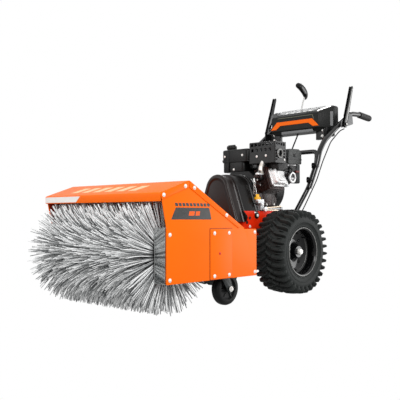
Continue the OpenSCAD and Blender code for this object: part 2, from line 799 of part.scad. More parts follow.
module brush_core() color(steel) place() {
  bar_x(12, -365, 365, -brush_ahead, brush_z);
  difference() {
    bar_x(core_r, -brush_half - 2, brush_half + 2, -brush_ahead, brush_z);
    bar_x(core_r - 4, -brush_half + 4, brush_half - 4, -brush_ahead, brush_z);
    bar_x(11.9, -brush_half - 5, brush_half + 5, -brush_ahead, brush_z);
  }
  difference() {
    bar_x(big_sprocket_r, sprocket_x, sprocket_x + 10, -brush_ahead, brush_z);
    bar_x(11.9, sprocket_x - 1, sprocket_x + 11, -brush_ahead, brush_z);
  }
}

wafer_w = 4;
module brush_bristles() color("gainsboro") place() for (i = [0:wafers - 1]) {
  x = -brush_half + (2 * brush_half - wafer_w) * i / (wafers - 1);
  difference() {
    bar_x(brush_r, x, x + wafer_w, -brush_ahead, brush_z);
    bar_x(core_r, x - 1, x + wafer_w + 1, -brush_ahead, brush_z);
  }
}

// ---- Casters ----

wheel_y = caster_y + caster_trail;
caster_w = 42;

module caster_fork() color(steel) place() {
  block([caster_x - 30, caster_y - 29, 145], [caster_x + 30, caster_y + 29, 150]);
  for (x = [-30, 26]) along_x(caster_x + x, 4) {
    polygon([[caster_y - 28, 149], [caster_y + 28, 149], [wheel_y + 15, 76], [wheel_y - 14, 60]]);
    translate([wheel_y, caster_r]) circle(r = 16);
  }
  bar_z(8, 149, 178, caster_x, caster_y);
  bar_z(14, 177, 184, caster_x, caster_y);
  bar_x(6, caster_x - 34, caster_x + 34, wheel_y, caster_r);
  both_sides_of(caster_x) bar_x(10, caster_x + 30, caster_x + 35, wheel_y, caster_r);
}
module both_sides_of(x) {
  children();
  translate([2 * x, 0, 0]) mirror([1, 0, 0]) children();
}
module caster_fork_left() { caster_fork(); }
module caster_fork_right() { mirror([1, 0, 0]) caster_fork(); }

module caster_wheel() color(black) place() translate([caster_x, wheel_y, caster_r])
  rotate([0, 90, 0]) rotate_extrude() polygon([
    [6 + bearing_gap, -24], [14, -24], [14, -14], [44, -14], [48, -caster_w / 2], [60, -caster_w / 2],
    [caster_r, -14], [caster_r, 14], [60, caster_w / 2], [48, caster_w / 2], [44, 14], [14, 14],
    [14, 24], [6 + bearing_gap, 24]
  ]);
module caster_wheel_left() { caster_wheel(); }
module caster_wheel_right() { mirror([1, 0, 0]) caster_wheel(); }

chassis_frame();
chassis_bearings();
swivel_bracket();
chassis_fasteners();
engine_plate();
crankcase();
cylinder_head();
blower_housing();
fuel_tank();
muffler();
muffler_guard();
intake_box();
carburettor();
control_panel();
oil_filler();
belt_cover();
belts();
lower_handle();
handlebars();
handle_grips();
handle_brackets();
console();
console_trim();
clutch_cables();
crankshaft();
engine_pulley();
brush_drive_shaft();
traction_disc();
pinion_shaft();
wheel_axle();
left_rim();
right_rim();
left_tyre();
right_tyre();
traction_lever();
brush_lever();
shift_lever();
shift_rod();
fuel_cap();
oil_cap();
choke_knob();
ignition_key();
recoil_handle();
brush_hood();
left_side_plate();
right_side_plate();
side_access_covers();
bristle_shields();
head_frame();
head_gearbox();
head_bolts();
drive_chain();
head_input_shaft();
brush_cross_shaft();
brush_core();
brush_bristles();
caster_fork_left();
caster_fork_right();
caster_wheel_left();
caster_wheel_right();
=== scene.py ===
import json
import math
import random

import bmesh
import bpy
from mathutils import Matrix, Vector

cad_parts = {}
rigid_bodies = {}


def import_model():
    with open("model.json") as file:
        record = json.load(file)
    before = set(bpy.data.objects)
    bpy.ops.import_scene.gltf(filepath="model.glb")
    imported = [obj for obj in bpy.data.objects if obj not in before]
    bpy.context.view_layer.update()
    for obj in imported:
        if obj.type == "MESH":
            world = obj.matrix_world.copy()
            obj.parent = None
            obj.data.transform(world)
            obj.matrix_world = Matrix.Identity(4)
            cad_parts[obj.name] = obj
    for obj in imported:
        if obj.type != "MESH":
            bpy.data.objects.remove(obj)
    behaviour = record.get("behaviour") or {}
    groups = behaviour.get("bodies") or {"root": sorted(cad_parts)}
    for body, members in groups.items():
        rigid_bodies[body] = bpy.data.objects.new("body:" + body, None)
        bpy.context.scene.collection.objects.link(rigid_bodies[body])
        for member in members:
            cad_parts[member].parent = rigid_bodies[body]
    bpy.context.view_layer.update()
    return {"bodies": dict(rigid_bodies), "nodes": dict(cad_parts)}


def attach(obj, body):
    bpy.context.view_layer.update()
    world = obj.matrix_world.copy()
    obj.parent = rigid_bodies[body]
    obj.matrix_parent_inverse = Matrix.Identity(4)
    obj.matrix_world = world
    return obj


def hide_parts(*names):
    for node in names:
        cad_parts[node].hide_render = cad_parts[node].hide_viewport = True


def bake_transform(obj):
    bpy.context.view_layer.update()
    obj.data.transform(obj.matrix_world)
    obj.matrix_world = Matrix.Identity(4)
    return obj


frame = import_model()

NODES = frame["nodes"]
BODIES = frame["bodies"]
# The wheel axle line's distance behind the frame's origin, in millimetres
AXLE_Y = 133.0
# The sides of the machine: the sign of x and the word used in names
SIDES = ((1, "left"), (-1, "right"))

# ---------------------------------------------------------------- helpers


def mm(x, y, z):
    """A point given in millimetres from the wheel axle line, in the row frame in metres."""
    return Vector((x / 1000, (y + AXLE_Y) / 1000, z / 1000))


def body_of(node):
    parent = NODES[node].parent
    return next(name for name, empty in BODIES.items() if empty is parent)


def srgb(r, g, b):
    """An sRGB colour out of 255 as linear values."""
    def one(v):
        v /= 255
        return v / 12.92 if v <= 0.04045 else ((v + 0.055) / 1.055) ** 2.4
    return (one(r), one(g), one(b), 1.0)


def smooth_by_angle(me, degrees):
    """Smooth shading with edges sharper than the angle kept hard."""
    bm = bmesh.new()
    bm.from_mesh(me)
    limit = math.radians(degrees)
    for f in bm.faces:
        f.smooth = True
    for e in bm.edges:
        e.smooth = len(e.link_faces) == 2 and e.calc_face_angle(0) < limit
    bm.to_mesh(me)
    bm.free()


def add_object(name, me, materials, body, replaces=None):
    """An object that rides on a body and stands for the CAD node it replaces."""
    o = bpy.data.objects.new(name, me)
    bpy.context.scene.collection.objects.link(o)
    me.materials.clear()
    for m in materials:
        me.materials.append(m)
    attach(o, body)
    if replaces:
        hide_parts(replaces)


def build(name, mesh, keys, body="machine", smooth=40, bevel=0.0, segs=2, replaces=None,
          face_mats=None):
    """A piece from (points, faces), with its points in millimetres from the axle line. keys names
    its material or materials."""
    verts, faces = mesh
    keys = keys if isinstance(keys, list) else [keys]
    me = bpy.data.meshes.new(name)
    me.from_pydata([mm(*v) for v in verts], [], faces)
    me.validate()
    if face_mats:
        for p, i in zip(me.polygons, face_mats):
            p.material_index = i
    bm = bmesh.new()
    bm.from_mesh(me)
    bmesh.ops.remove_doubles(bm, verts=bm.verts, dist=1e-6)
    bmesh.ops.recalc_face_normals(bm, faces=bm.faces)
    if bevel:
        bevel_edges(bm, bevel / 1000, segs)
    bm.to_mesh(me)
    bm.free()
    smooth_by_angle(me, smooth)
    add_object(name, me, [M[key] for key in keys], body, replaces)


def bevel_edges(bm, width, segs, degrees=28):
    limit = math.radians(degrees)
    edges = [e for e in bm.edges if len(e.link_faces) == 2 and e.calc_face_angle(0) > limit]
    if edges:
        bmesh.ops.bevel(bm, geom=edges, offset=width, offset_type="OFFSET", segments=segs,
                        profile=0.6, affect="EDGES", clamp_overlap=True)


def refine(node, key, bevel):
    """A copy of a CAD node with clean faces and rounded edges, which stands for the node."""
    src = NODES[node].data
    me = bpy.data.meshes.new(node + "_skin")
    me.from_pydata([v.co.copy() for v in src.vertices], [], [tuple(p.vertices) for p in src.polygons])
    bm = bmesh.new()
    bm.from_mesh(me)
    bmesh.ops.remove_doubles(bm, verts=bm.verts, dist=2e-6)
    bmesh.ops.dissolve_degenerate(bm, dist=1e-6, edges=bm.edges)
    bmesh.ops.dissolve_limit(bm, angle_limit=math.radians(1.0), verts=bm.verts, edges=bm.edges)
    if bevel:
        bevel_edges(bm, bevel / 1000, 2)
    bm.to_mesh(me)
    bm.free()
    smooth_by_angle(me, 35)
    add_object(node + "_skin", me, [M[key]], body_of(node), replaces=node)


def prism(outline, axis, a, b):
    """Vertices and faces of an outline extruded along an axis between two coordinates.
    Along x the outline is [y, z], along y [x, z] and along z [x, y]."""
    def at(p, t):
        return {"x": (t, p[0], p[1]), "y": (p[0], t, p[1]), "z": (p[0], p[1], t)}[axis]
    n = len(outline)
    verts = [at(p, a) for p in outline] + [at(p, b) for p in outline]
    faces = [tuple(range(n)), tuple(range(2 * n - 1, n - 1, -1))]
    faces += [(i, (i + 1) % n, n + (i + 1) % n, n + i) for i in range(n)]
    return verts, faces


def across(outline, side, a, b):
    """An outline of [y, z] extruded between two distances out on one side of the machine."""
    return prism(outline, "x", *sorted((side * a, side * b)))


def slab(low, high):
    """A six-sided block from four points below and the four above them."""
    return low + high, [(0, 1, 5, 4), (1, 2, 6, 5), (2, 3, 7, 6), (3, 0, 4, 7), (4, 5, 6, 7), (3, 2, 1, 0)]


def band(rows, n, caps=False):
    """Faces between rings of n points each, with the two ends closed if caps is set."""
    faces = [(i * n + k, i * n + (k + 1) % n, (i + 1) * n + (k + 1) % n, (i + 1) * n + k)
             for i in range(rows - 1) for k in range(n)]
    if caps:
        faces += [tuple(range(n - 1, -1, -1)), tuple(range((rows - 1) * n, rows * n))]
    return faces


def circle(count, start=0.0):
    """Angles evenly spaced round a turn, from a start angle."""
    return [start + 2 * math.pi * k / count for k in range(count)]


def join(*parts):
    verts, faces = [], []
    for v, f in parts:
        k = len(verts)
        verts += v
        faces += [tuple(i + k for i in face) for face in f]
    return verts, faces


def lathe(profile, centre, axis, steps=64, closed=True):
    """A profile of (distance along the axis, radius) turned about an axis through a centre."""
    verts, faces = [], []
    n = len(profile)
    for k in range(steps):
        t = 2 * math.pi * k / steps
        for d, r in profile:
            c, s = r * math.cos(t), r * math.sin(t)
            verts.append({"x": (centre[0] + d, centre[1] + c, centre[2] + s),
                          "y": (centre[0] + c, centre[1] + d, centre[2] + s),
                          "z": (centre[0] + c, centre[1] + s, centre[2] + d)}[axis])
    last = n if closed else n - 1
    for k in range(steps):
        j = (k + 1) % steps
        for i in range(last):
            i2 = (i + 1) % n
            faces.append((k * n + i, k * n + i2, j * n + i2, j * n + i))
    return verts, faces


def tube(path, radius, sides=12, caps=True):
    """A round tube along points in millimetres; radius is a number or one per point."""
    pts = [Vector(p) for p in path]
    rs = radius if isinstance(radius, (list, tuple)) else [radius] * len(pts)
    verts, faces = [], []
    normal = None
    for i, p in enumerate(pts):
        t = (pts[min(i + 1, len(pts) - 1)] - pts[max(i - 1, 0)]).normalized()
        if normal is None:
            normal = t.cross(Vector((0.31, 0.17, 0.93)))
        normal = (normal - t * normal.dot(t)).normalized()
        other = t.cross(normal)
        for k in range(sides):
            a = 2 * math.pi * k / sides
            verts.append(tuple(p + rs[i] * (math.cos(a) * normal + math.sin(a) * other)))
    for i in range(len(pts) - 1):
        for k in range(sides):
            j = (k + 1) % sides
            faces.append((i * sides + k, (i + 1) * sides + k, (i + 1) * sides + j, i * sides + j))
    if caps:
        faces.append(tuple(range(sides)))
        faces.append(tuple(range(len(pts) * sides - 1, (len(pts) - 1) * sides - 1, -1)))
    return verts, faces


def spline(points, per=8):
    """A smooth Catmull-Rom line through points."""
    p = [Vector(q) for q in points]
    p = [2 * p[0] - p[1]] + p + [2 * p[-1] - p[-2]]
    out = []
    for i in range(1, len(p) - 2):
        for k in range(per):
            t = k / per
            out.append(0.5 * (2 * p[i] + (p[i + 1] - p[i - 1]) * t
                              + (2 * p[i - 1] - 5 * p[i] + 4 * p[i + 1] - p[i + 2]) * t * t
                              + (3 * p[i] - p[i - 1] - 3 * p[i + 1] + p[i + 2]) * t ** 3))
    out.append(p[-2])
    return [tuple(q) for q in out]


def rounded_outline(points, radius, steps=5):
    """A closed outline with its corners rounded; radius is a number or one per corner."""
    n = len(points)
    rs = radius if isinstance(radius, (list, tuple)) else [radius] * n
    out = []
    for i in range(n):
        p = Vector(points[i])
        a = (Vector(points[i - 1]) - p)
        b = (Vector(points[(i + 1) % n]) - p)
        r = min(rs[i], a.length * 0.49, b.length * 0.49)
        if r < 0.05:
            out.append(tuple(p))
            continue
        pa, pb = p + a.normalized() * r, p + b.normalized() * r
        for k in range(steps + 1):
            t = k / steps
            out.append(tuple((1 - t) ** 2 * pa + 2 * t * (1 - t) * p + t * t * pb))
    return out


# ---------------------------------------------------------------- materials


def shader_node(nt, kind, **inputs):
    """A new node of a node tree, with its inputs set by name, spaces written as underscores."""
    n = nt.nodes.new("ShaderNode" + kind)
    for socket, value in inputs.items():
        n.inputs[socket.replace("_", " ")].default_value = value
    return n


def linker(nt):
    """A short way to link one node's output to another's input by name."""
    return lambda a, out, b, into: nt.links.new(a.outputs[out], b.inputs[into])


def colour_stops(ramp, stops):
    """Sets the first and last stop of a ramp, and adds the ones given between them."""
    e = ramp.color_ramp.elements
    for stop, (at, colour) in zip(e, (stops[0], stops[-1])):
        stop.position, stop.color = at, colour
    for at, colour in stops[1:-1]:
        e.new(at).color = colour


def material(name, colour, rough=0.5, metal=0.0, vary=0.08, vary_scale=30.0, rough_vary=0.08,
             bump=0.0, bump_scale=400.0, coat=0.0, coat_rough=0.1, colour2=None, stretch=None,
             specular=0.5):
    """A procedural material: soft colour and roughness variation and a fine surface texture."""
    m = bpy.data.materials.new(name)
    m.use_nodes = True
    nt = m.node_tree
    link = linker(nt)
    b = nt.nodes["Principled BSDF"]
    b.inputs["Metallic"].default_value = metal
    b.inputs["Coat Weight"].default_value = coat
    b.inputs["Coat Roughness"].default_value = coat_rough
    b.inputs["Specular IOR Level"].default_value = specular
    tc = shader_node(nt, "TexCoord")
    mp = shader_node(nt, "Mapping", **({"Scale": stretch} if stretch else {}))
    link(tc, "Object", mp, "Vector")
    n1 = shader_node(nt, "TexNoise", Scale=vary_scale, Detail=4.0)
    link(mp, "Vector", n1, "Vector")
    # The noise runs between two tones, a share darker and a share lighter than the colour
    ramp = shader_node(nt, "ValToRGB")
    lo = [c * (1 - vary) for c in colour[:3]]
    hi = [min(1.0, c * (1 + vary)) for c in (colour2 or colour)[:3]]
    colour_stops(ramp, [(0.3, (*lo, 1)), (0.7, (*hi, 1))])
    link(n1, "Fac", ramp, "Fac")
    link(ramp, "Color", b, "Base Color")
    mr = shader_node(nt, "MapRange", To_Min=max(0.02, rough - rough_vary),
                     To_Max=min(1.0, rough + rough_vary))
    link(n1, "Fac", mr, "Value")
    link(mr, "Result", b, "Roughness")
    if bump:
        n2 = shader_node(nt, "TexNoise", Scale=bump_scale, Detail=2.0)
        link(mp, "Vector", n2, "Vector")
        bp = shader_node(nt, "Bump", Strength=bump, Distance=0.001)
        link(n2, "Fac", bp, "Height")
        link(bp, "Normal", b, "Normal")
    return m


# For each key: the material's name, a slot name, its sRGB colour, its roughness
# and its further settings
MATERIALS = {
    "orange": (
        "orange_paint", "orange_paint", (253, 108, 0), 0.42,
        dict(vary=0.03, vary_scale=5, bump=0.05, bump_scale=260, specular=0.12)),
    # Orange darkened to a dark red: painted shade for faces that lie in shadow
    "orange_inside": (
        "orange_inside", "orange_paint", (150, 34, 8), 0.55, dict(vary=0.15, vary_scale=9, specular=0.1)),
    "red": (
        "red_orange_paint", None, (232, 44, 6), 0.42,
        dict(vary=0.06, vary_scale=14, bump=0.05, bump_scale=300, specular=0.15)),
    "powder": (
        "black_powder_coat", "black_paint", (11, 11, 12), 0.3,
        dict(vary=0.12, bump=0.12, bump_scale=700, specular=0.3)),
    "gloss_black": (
        "gloss_black_paint", "black_paint", (7, 7, 8), 0.14,
        dict(rough_vary=0.03, vary=0.1, coat=0.3, coat_rough=0.04, bump=0.03, bump_scale=120, specular=0.3)),
    "polished": (
        "polished_shield", "black_paint", (176, 178, 178), 0.12, dict(rough_vary=0.03, metal=1.0, vary=0.06)),
    "plastic": (
        "moulded_black_plastic", "black_plastic", (13, 13, 13), 0.34,
        dict(vary=0.08, bump=0.2, bump_scale=1400, specular=0.25)),
    "console": (
        "console_plastic", "black_plastic", (20, 21, 20), 0.4,
        dict(vary=0.08, bump=0.2, bump_scale=1400, specular=0.2)),
    "cover": (
        "cover_black_enamel", "black_paint", (13, 11, 10), 0.32,
        dict(vary=0.1, vary_scale=12, bump=0.06, bump_scale=500, coat=0.1, specular=0.25)),
    "engine": (
        "engine_black", "engine_black", (10, 9, 9), 0.4,
        dict(vary=0.15, vary_scale=60, bump=0.35, bump_scale=900, specular=0.25)),
    "alloy": (
        "cast_alloy", None, (182, 184, 186), 0.42,
        dict(metal=0.9, vary=0.12, vary_scale=70, bump=0.4, bump_scale=1100)),
    "plate": (
        "brushed_plate", None, (150, 151, 152), 0.35,
        dict(metal=0.9, vary=0.08, stretch=(1, 1, 14), vary_scale=40, bump=0.08, bump_scale=300)),
    "dark_steel": (
        "dark_steel", "dark_steel", (84, 85, 87), 0.4,
        dict(metal=0.85, vary=0.15, vary_scale=50, bump=0.12, bump_scale=800)),
    "zinc": (
        "zinc_plate", "bright_steel", (205, 205, 203), 0.25,
        dict(metal=1.0, vary=0.1, vary_scale=160, bump=0.05, bump_scale=600)),
    "bolt": (
        "pale_bolt", "bright_steel", (240, 238, 234), 0.35,
        dict(metal=0.15, vary=0.05, vary_scale=200, bump=0.05, bump_scale=500)),
    "rubber": (
        "black_rubber", "rubber", (11, 12, 12), 0.5,
        dict(vary=0.15, bump=0.25, bump_scale=900, specular=0.25)),
    "tyre": (
        "tyre_sidewall", "tyre", (36, 39, 38), 0.62,
        dict(vary=0.18, vary_scale=35, rough_vary=0.1, bump=0.4, bump_scale=700, specular=0.25)),
    "tread": (
        "tyre_tread", None, (4, 4, 5), 0.8,
        dict(vary=0.2, vary_scale=60, bump=0.3, bump_scale=700, specular=0.08)),
    "grip": ("grip_rubber", "rubber", (46, 46, 46), 0.6, dict(vary=0.12, bump=0.3, bump_scale=1500)),
    "yellow": (
        "yellow_plastic", "black_plastic", (236, 178, 20), 0.4, dict(vary=0.06, bump=0.08, bump_scale=900)),
    "grey": (
        "grey_plastic", "black_plastic", (112, 113, 114), 0.5, dict(vary=0.06, bump=0.15, bump_scale=1200)),
    "light_grey": (
        "pale_grey_plastic", "bright_steel", (196, 196, 194), 0.45,
        dict(vary=0.06, bump=0.1, bump_scale=900)),
    "decal": ("decal_black", "black_paint", (40, 39, 38), 0.3, dict(vary=0.1, vary_scale=40, coat=0.4)),
    "decal_olive": ("decal_olive", "black_plastic", (84, 84, 66), 0.4, dict(vary=0.05, vary_scale=60)),
    "decal_orange": (
        "decal_orange", "orange_paint", (255, 96, 20), 0.4, dict(vary=0.05, vary_scale=60, specular=0.2)),
    "decal_white": (
        "decal_white", "bright_steel", (238, 234, 230), 0.35, dict(vary=0.03, vary_scale=20, coat=0.3)),
    "decal_pale": (
        "decal_pale_orange", "orange_paint", (255, 190, 140), 0.4,
        dict(vary=0.04, vary_scale=20, specular=0.15)),
    "belt": ("belt_rubber", None, (24, 24, 25), 0.7, dict(vary=0.1, bump=0.2, bump_scale=600)),
    "hot_steel": (
        "heat_stained_steel", "dark_steel", (214, 198, 176), 0.34,
        dict(metal=0.7, vary=0.3, vary_scale=28, colour2=srgb(250, 240, 226), bump=0.1, bump_scale=500)),
    "seam": ("seam_shadow", "orange_paint", (120, 44, 4), 0.7, dict(vary=0.1, vary_scale=60)),
    "plug_red": ("red_plug", "red_paint", (205, 40, 12), 0.5, dict(vary=0.06, vary_scale=90)),
    "guard": (
        "guard_black_sheet", "black_paint", (8, 7, 7), 0.3,
        dict(vary=0.15, vary_scale=40, bump=0.15, bump_scale=800, specular=0.3)),
    # Grey steel: worn on the outlet ring, and a painted highlight on the rims' lip and step
    "worn_grey": (
        "grey_steel_wear_and_painted_highlight", "dark_steel", (120, 120, 118), 0.4,
        dict(metal=0.7, vary=0.2, vary_scale=60, bump=0.1, bump_scale=500)),
    "bright_alloy": (
        "bright_cast_alloy", "cast_alloy", (232, 232, 232), 0.36,
        dict(metal=0.4, vary=0.08, vary_scale=60, bump=0.3, bump_scale=1200)),
    # Black with a brown tint: a painted warm reflection on the black castings
    "engine_brown": (
        "engine_black_painted_warm_reflection", "engine_black", (20, 11, 9), 0.34,
        dict(
            metal=0.1, vary=0.3, vary_scale=40, colour2=srgb(44, 22, 17), bump=0.4, bump_scale=900,
            specular=0.3)),
    "air_box": (
        "air_box_plastic", "black_plastic", (56, 58, 57), 0.42,
        dict(vary=0.06, vary_scale=30, bump=0.2, bump_scale=1300, specular=0.25)),
    "grey_black": (
        "grey_black_plastic", "black_plastic", (66, 68, 68), 0.5,
        dict(vary=0.08, bump=0.2, bump_scale=1200, specular=0.25)),
    "red_dull": (
        "dull_red_plastic", "black_plastic", (96, 24, 16), 0.5, dict(vary=0.1, bump=0.1, bump_scale=900)),
    "pale_rod": ("pale_rod", "bright_steel", (226, 208, 186), 0.3, dict(metal=0.6, vary=0.08, vary_scale=60)),
    "cover_front": (
        "cover_front_enamel", "black_paint", (24, 14, 12), 0.3,
        dict(vary=0.12, vary_scale=8, coat=0.1, coat_rough=0.1, bump=0.05, bump_scale=300, specular=0.25)),
    # Paler grey for the belt cover's edge bead: a painted highlight
    "cover_edge": (
        "cover_edge_painted_highlight", "black_paint", (52, 50, 48), 0.35, dict(metal=0.2, vary=0.2, vary_scale=50)),
    "fork_grey": (
        "fork_grey_steel", None, (42, 46, 46), 0.34,
        dict(metal=0.35, vary=0.15, vary_scale=40, bump=0.1, bump_scale=600)),
}
M = {key: material(name, srgb(*rgb), rough, **more)
     for key, (name, slot, rgb, rough, more) in MATERIALS.items()}

# Every CAD node has a material before any detailed piece replaces it
CAD_MATERIALS = {
    "red": ["chassis_frame", "head_frame"],
    "dark_steel": ["swivel_bracket", "muffler", "handle_brackets", "crankshaft", "engine_pulley",
                   "brush_drive_shaft", "traction_disc", "pinion_shaft", "drive_chain",
                   "head_input_shaft", "brush_cross_shaft", "caster_fork_left", "caster_fork_right",
                   "shift_lever"],
    "zinc": ["chassis_fasteners", "wheel_axle", "choke_knob", "chassis_bearings"],
    "bolt": ["head_bolts"],
    "plate": ["engine_plate"],
    "engine": ["crankcase", "blower_housing"],
    "alloy": ["cylinder_head", "carburettor", "oil_filler", "head_gearbox"],
    "plastic": ["fuel_tank", "intake_box", "control_panel", "fuel_cap", "recoil_handle"],
    "console": ["console"],
    "powder": ["muffler_guard", "lower_handle", "handlebars", "traction_lever", "brush_lever",
               "shift_rod", "brush_core", "bristle_shields"],
    "gloss_black": ["left_rim", "right_rim"],
    "cover": ["belt_cover"],
    "belt": ["belts", "clutch_cables"],
    "rubber": ["caster_wheel_left", "caster_wheel_right"],
    "tyre": ["left_tyre", "right_tyre"],
    "grip": ["handle_grips"],
    "orange": ["brush_hood", "left_side_plate", "right_side_plate", "side_access_covers",
               "console_trim"],
    "yellow": ["oil_cap"],
    "decal_orange": ["ignition_key"],
    "light_grey": ["brush_bristles"],
}
for key, names in CAD_MATERIALS.items():
    for n in names:
        NODES[n].data.materials.clear()
        NODES[n].data.materials.append(M[key])
unpainted = set(NODES) - {n for names in CAD_MATERIALS.values() for n in names}
assert not unpainted, unpainted

# ---------------------------------------------------------------- brush

# The brush axis, the radii over the wires and of the core, and half of the brush's length
BRUSH_Y, BRUSH_Z = -864.0, 224.5
BRUSH_R, CORE_R, BRUSH_HALF = 224.0, 70.0, 306.0


def bristle_material():
    """Pale plastic wires, shaded darker towards their roots and from wire to wire."""
    m = bpy.data.materials.new("bristle_wire")
    m.use_nodes = True
    nt = m.node_tree
    link = linker(nt)
    b = nt.nodes["Principled BSDF"]
    b.inputs["Roughness"].default_value = 0.42
    b.inputs["Specular IOR Level"].default_value = 0.5
    tone = shader_node(nt, "Attribute")
    tone.attribute_name = "wire_tone"
    ramp = shader_node(nt, "ValToRGB")
    colour_stops(ramp, [(0.0, srgb(16, 17, 18)), (0.45, srgb(136, 139, 140)), (0.9, srgb(253, 254, 254))])
    link(tone, "Fac", ramp, "Fac")
    tc = shader_node(nt, "TexCoord")
    n1 = shader_node(nt, "TexNoise", Scale=90.0)
    link(tc, "Object", n1, "Vector")
    mix = shader_node(nt, "MixRGB", Fac=0.1)
    mix.blend_type = "MULTIPLY"
    link(ramp, "Color", mix, "Color1")
    link(n1, "Fac", mix, "Color2")
    link(mix, "Color", b, "Base Color")
    return m


def bristles():
    """Wires with three flat sides, standing in rings all along the core."""
    rng = random.Random(7)
    mat = bristle_material()
    wafers, groups, per_wafer = 22, 6, 178
    rows, sides = 4, 3
    for g in range(groups):
        verts, faces, tones = [], [], []
        for w in range(g, wafers, groups):
            x0 = -BRUSH_HALF + 4 + (2 * BRUSH_HALF - 8) * w / (wafers - 1)
            end = abs(x0) / BRUSH_HALF
            lean = max(0.0, end - 0.82) / 0.18 * 9 * (1 if x0 > 0 else -1)
            # Wires stand in loose clumps, so that dark gaps open between them
            for k in range(per_wafer):
                a = 2 * math.pi * (k + rng.uniform(-0.5, 0.5)) / per_wafer
                a += 0.030 * math.sin(a * 29 + w * 1.7) + 0.014 * math.sin(a * 71 + w)
                length = BRUSH_R + 1 - rng.random() ** 1.6 * 22
                if rng.random() < 0.03:
                    length -= rng.uniform(10, 40)
                side = max(-21, min(21, rng.gauss(0, 8.5) + lean))
                turn = rng.gauss(0, 0.02)
                bow = rng.gauss(0, 0.012)
                kink = rng.gauss(0, 1.5)
                half = rng.uniform(1.9, 2.6)
                tone = rng.choice((0.28, 0.62, 0.95, 1.0, 1.0, 1.0)) + rng.uniform(-0.05, 0.05)
                base = len(verts)
                twist = rng.uniform(0, math.pi / 2)
                for i in range(rows + 1):
                    t = i / rows
                    r = CORE_R - 3 + (length - CORE_R + 3) * t
                    ang = a + turn * t + bow * math.sin(math.pi * t)
                    xx = x0 + side * t ** 1.2 + kink * math.sin(math.pi * t * 1.5)
                    cy, cz = math.cos(ang), math.sin(ang)
                    centre = Vector((xx, BRUSH_Y + r * cy, BRUSH_Z + r * cz))
                    tang = Vector((0, -cz, cy))
                    h = half * (1.15 - 0.35 * t)
                    for b in circle(sides):
                        verts.append(tuple(centre + h * (math.cos(twist + b) * tang
                                                         + math.sin(twist + b) * Vector((1, 0, 0)))))
                        # Painted shade: each wire's tone darkens towards its root at the core
                        tones.append(tone * min(1.0, 0.4 + 2.4 * t))
                faces += [tuple(base + k for k in face) for face in band(rows + 1, sides)]
                top = base + sides * rows
                faces += [(top, top + 1, top + 2), (base + 2, base + 1, base)]
        name = f"bristle_wires_{g + 1}"
        me = bpy.data.meshes.new(name)
        me.from_pydata([mm(*v) for v in verts], [], faces)
        layer = me.attributes.new("wire_tone", "FLOAT", "POINT")
        layer.data.foreach_set("value", tones)
        for p in me.polygons:
            p.use_smooth = True
        add_object(name, me, [mat], "brush", "brush_bristles")


bristles()

# ---------------------------------------------------------------- drive wheels

AXLE_Z = 203.0
WHEEL_X = 252.0
# Half of a tyre's section as (offset from the tyre's middle plane, radius), crown to bead
TYRE_HALF = [(0, 187.5), (24, 186.8), (46, 184.5), (62, 180.5), (73, 174.5), (79, 165), (81, 155),
             (80.5, 146), (82, 144), (82, 141), (79.5, 139), (76, 130), (74.5, 126), (75.5, 124),
             (75, 121), (71, 117), (66, 115.5)]
# Shoulder lugs round one side, where the sidewall's colour starts, and the lugs' height
LUGS, TREAD_EDGE, LUG_H = 32, 74.0, 15.2


def tyre_point(side, s):
    """Offset, radius and outward normal of the tyre's outer surface at an arc length from the crown."""
    left = s
    for (x0, r0), (x1, r1) in zip(TYRE_HALF, TYRE_HALF[1:]):
        d = math.hypot(x1 - x0, r1 - r0)
        if left <= d or (x1, r1) == TYRE_HALF[-1]:
            t = left / d
            nx, nr = -(r1 - r0) / d, (x1 - x0) / d
            return side * (x0 + (x1 - x0) * t), r0 + (r1 - r0) * t, side * nx, nr
        left -= d


def lug(side, angle, stations):
    """One rubber lug: stations of (arc length, angle offset, half width, height) along it."""
    verts, faces = [], []
    for s, da, half, h in stations:
        x, r, nx, nr = tyre_point(side, s)
        for up, w in ((-1.5, half * 1.25), (h * 0.7, half * 0.8), (h, half * 0.42)):
            for k in (-1, 1):
                a = angle + da + k * w / r
                rr = r + nr * up
                verts.append((x + nx * up, rr * math.cos(a), rr * math.sin(a)))
    order = (0, 2, 4, 5, 3, 1)
    n = len(stations)
    for i in range(n - 1):
        for q in range(6):
            p = (q + 1) % 6
            faces.append((6 * i + order[q], 6 * i + order[p], 6 * i + 6 + order[p], 6 * i + 6 + order[q]))
    faces.append(order[::-1])
    faces.append(tuple(6 * (n - 1) + k for k in order))
    return verts, faces


def drive_tyre(name, x_mid, node):
    """A tyre's carcass with shoulder lugs, centre lugs and small ties between them."""
    section = [(-x, r) for x, r in reversed(TYRE_HALF)] + TYRE_HALF[1:]
    inner = [(x * 0.9, r - 6) for x, r in reversed(section[2:-2])]
    parts = [lathe(section + inner, (0, 0, 0), "x", 96)]
    pitch = 2 * math.pi / LUGS
    for side in (-1, 1):
        for k in range(LUGS):
            a = 2 * math.pi * (k + (0.5 if side > 0 else 0)) / LUGS
            parts.append(lug(side, a, [(30, -0.10 * pitch, 9.0, LUG_H), (48, 0, 9.6, LUG_H),
                                       (62, 0.05 * pitch, 9.4, 18.0), (71, 0.08 * pitch, 8.0, 22.0),
                                       (78, 0.10 * pitch, 6.6, 19.0), (84, 0.11 * pitch, 5.6, 7.0),
                                       (89, 0.12 * pitch, 4.6, 1.0)]))
            parts.append(lug(side, a, [(2, -0.62 * pitch, 7.2, LUG_H), (14, -0.40 * pitch, 7.4, LUG_H),
                                       (27, -0.18 * pitch, 7.2, LUG_H)]))
            # A small tie between shoulder lugs, low in the groove
            parts.append(lug(side, a + pitch / 2, [(50, 0, 4.2, 8.0), (62, 0, 4.2, 8.0), (70, 0, 3.6, 3.0)]))
    verts, faces = join(*parts)
    verts = [(x + x_mid, y, z + AXLE_Z) for x, y, z in verts]
    carcass = len(parts[0][1])
    marks = [0 if i < carcass and sum(abs(verts[k][0] - x_mid) for k in f) / len(f) > TREAD_EDGE else 1
             for i, f in enumerate(faces)]
    build(name, (verts, faces), ["tyre", "tread"], "drive_wheels", smooth=32, face_mats=marks, replaces=node)


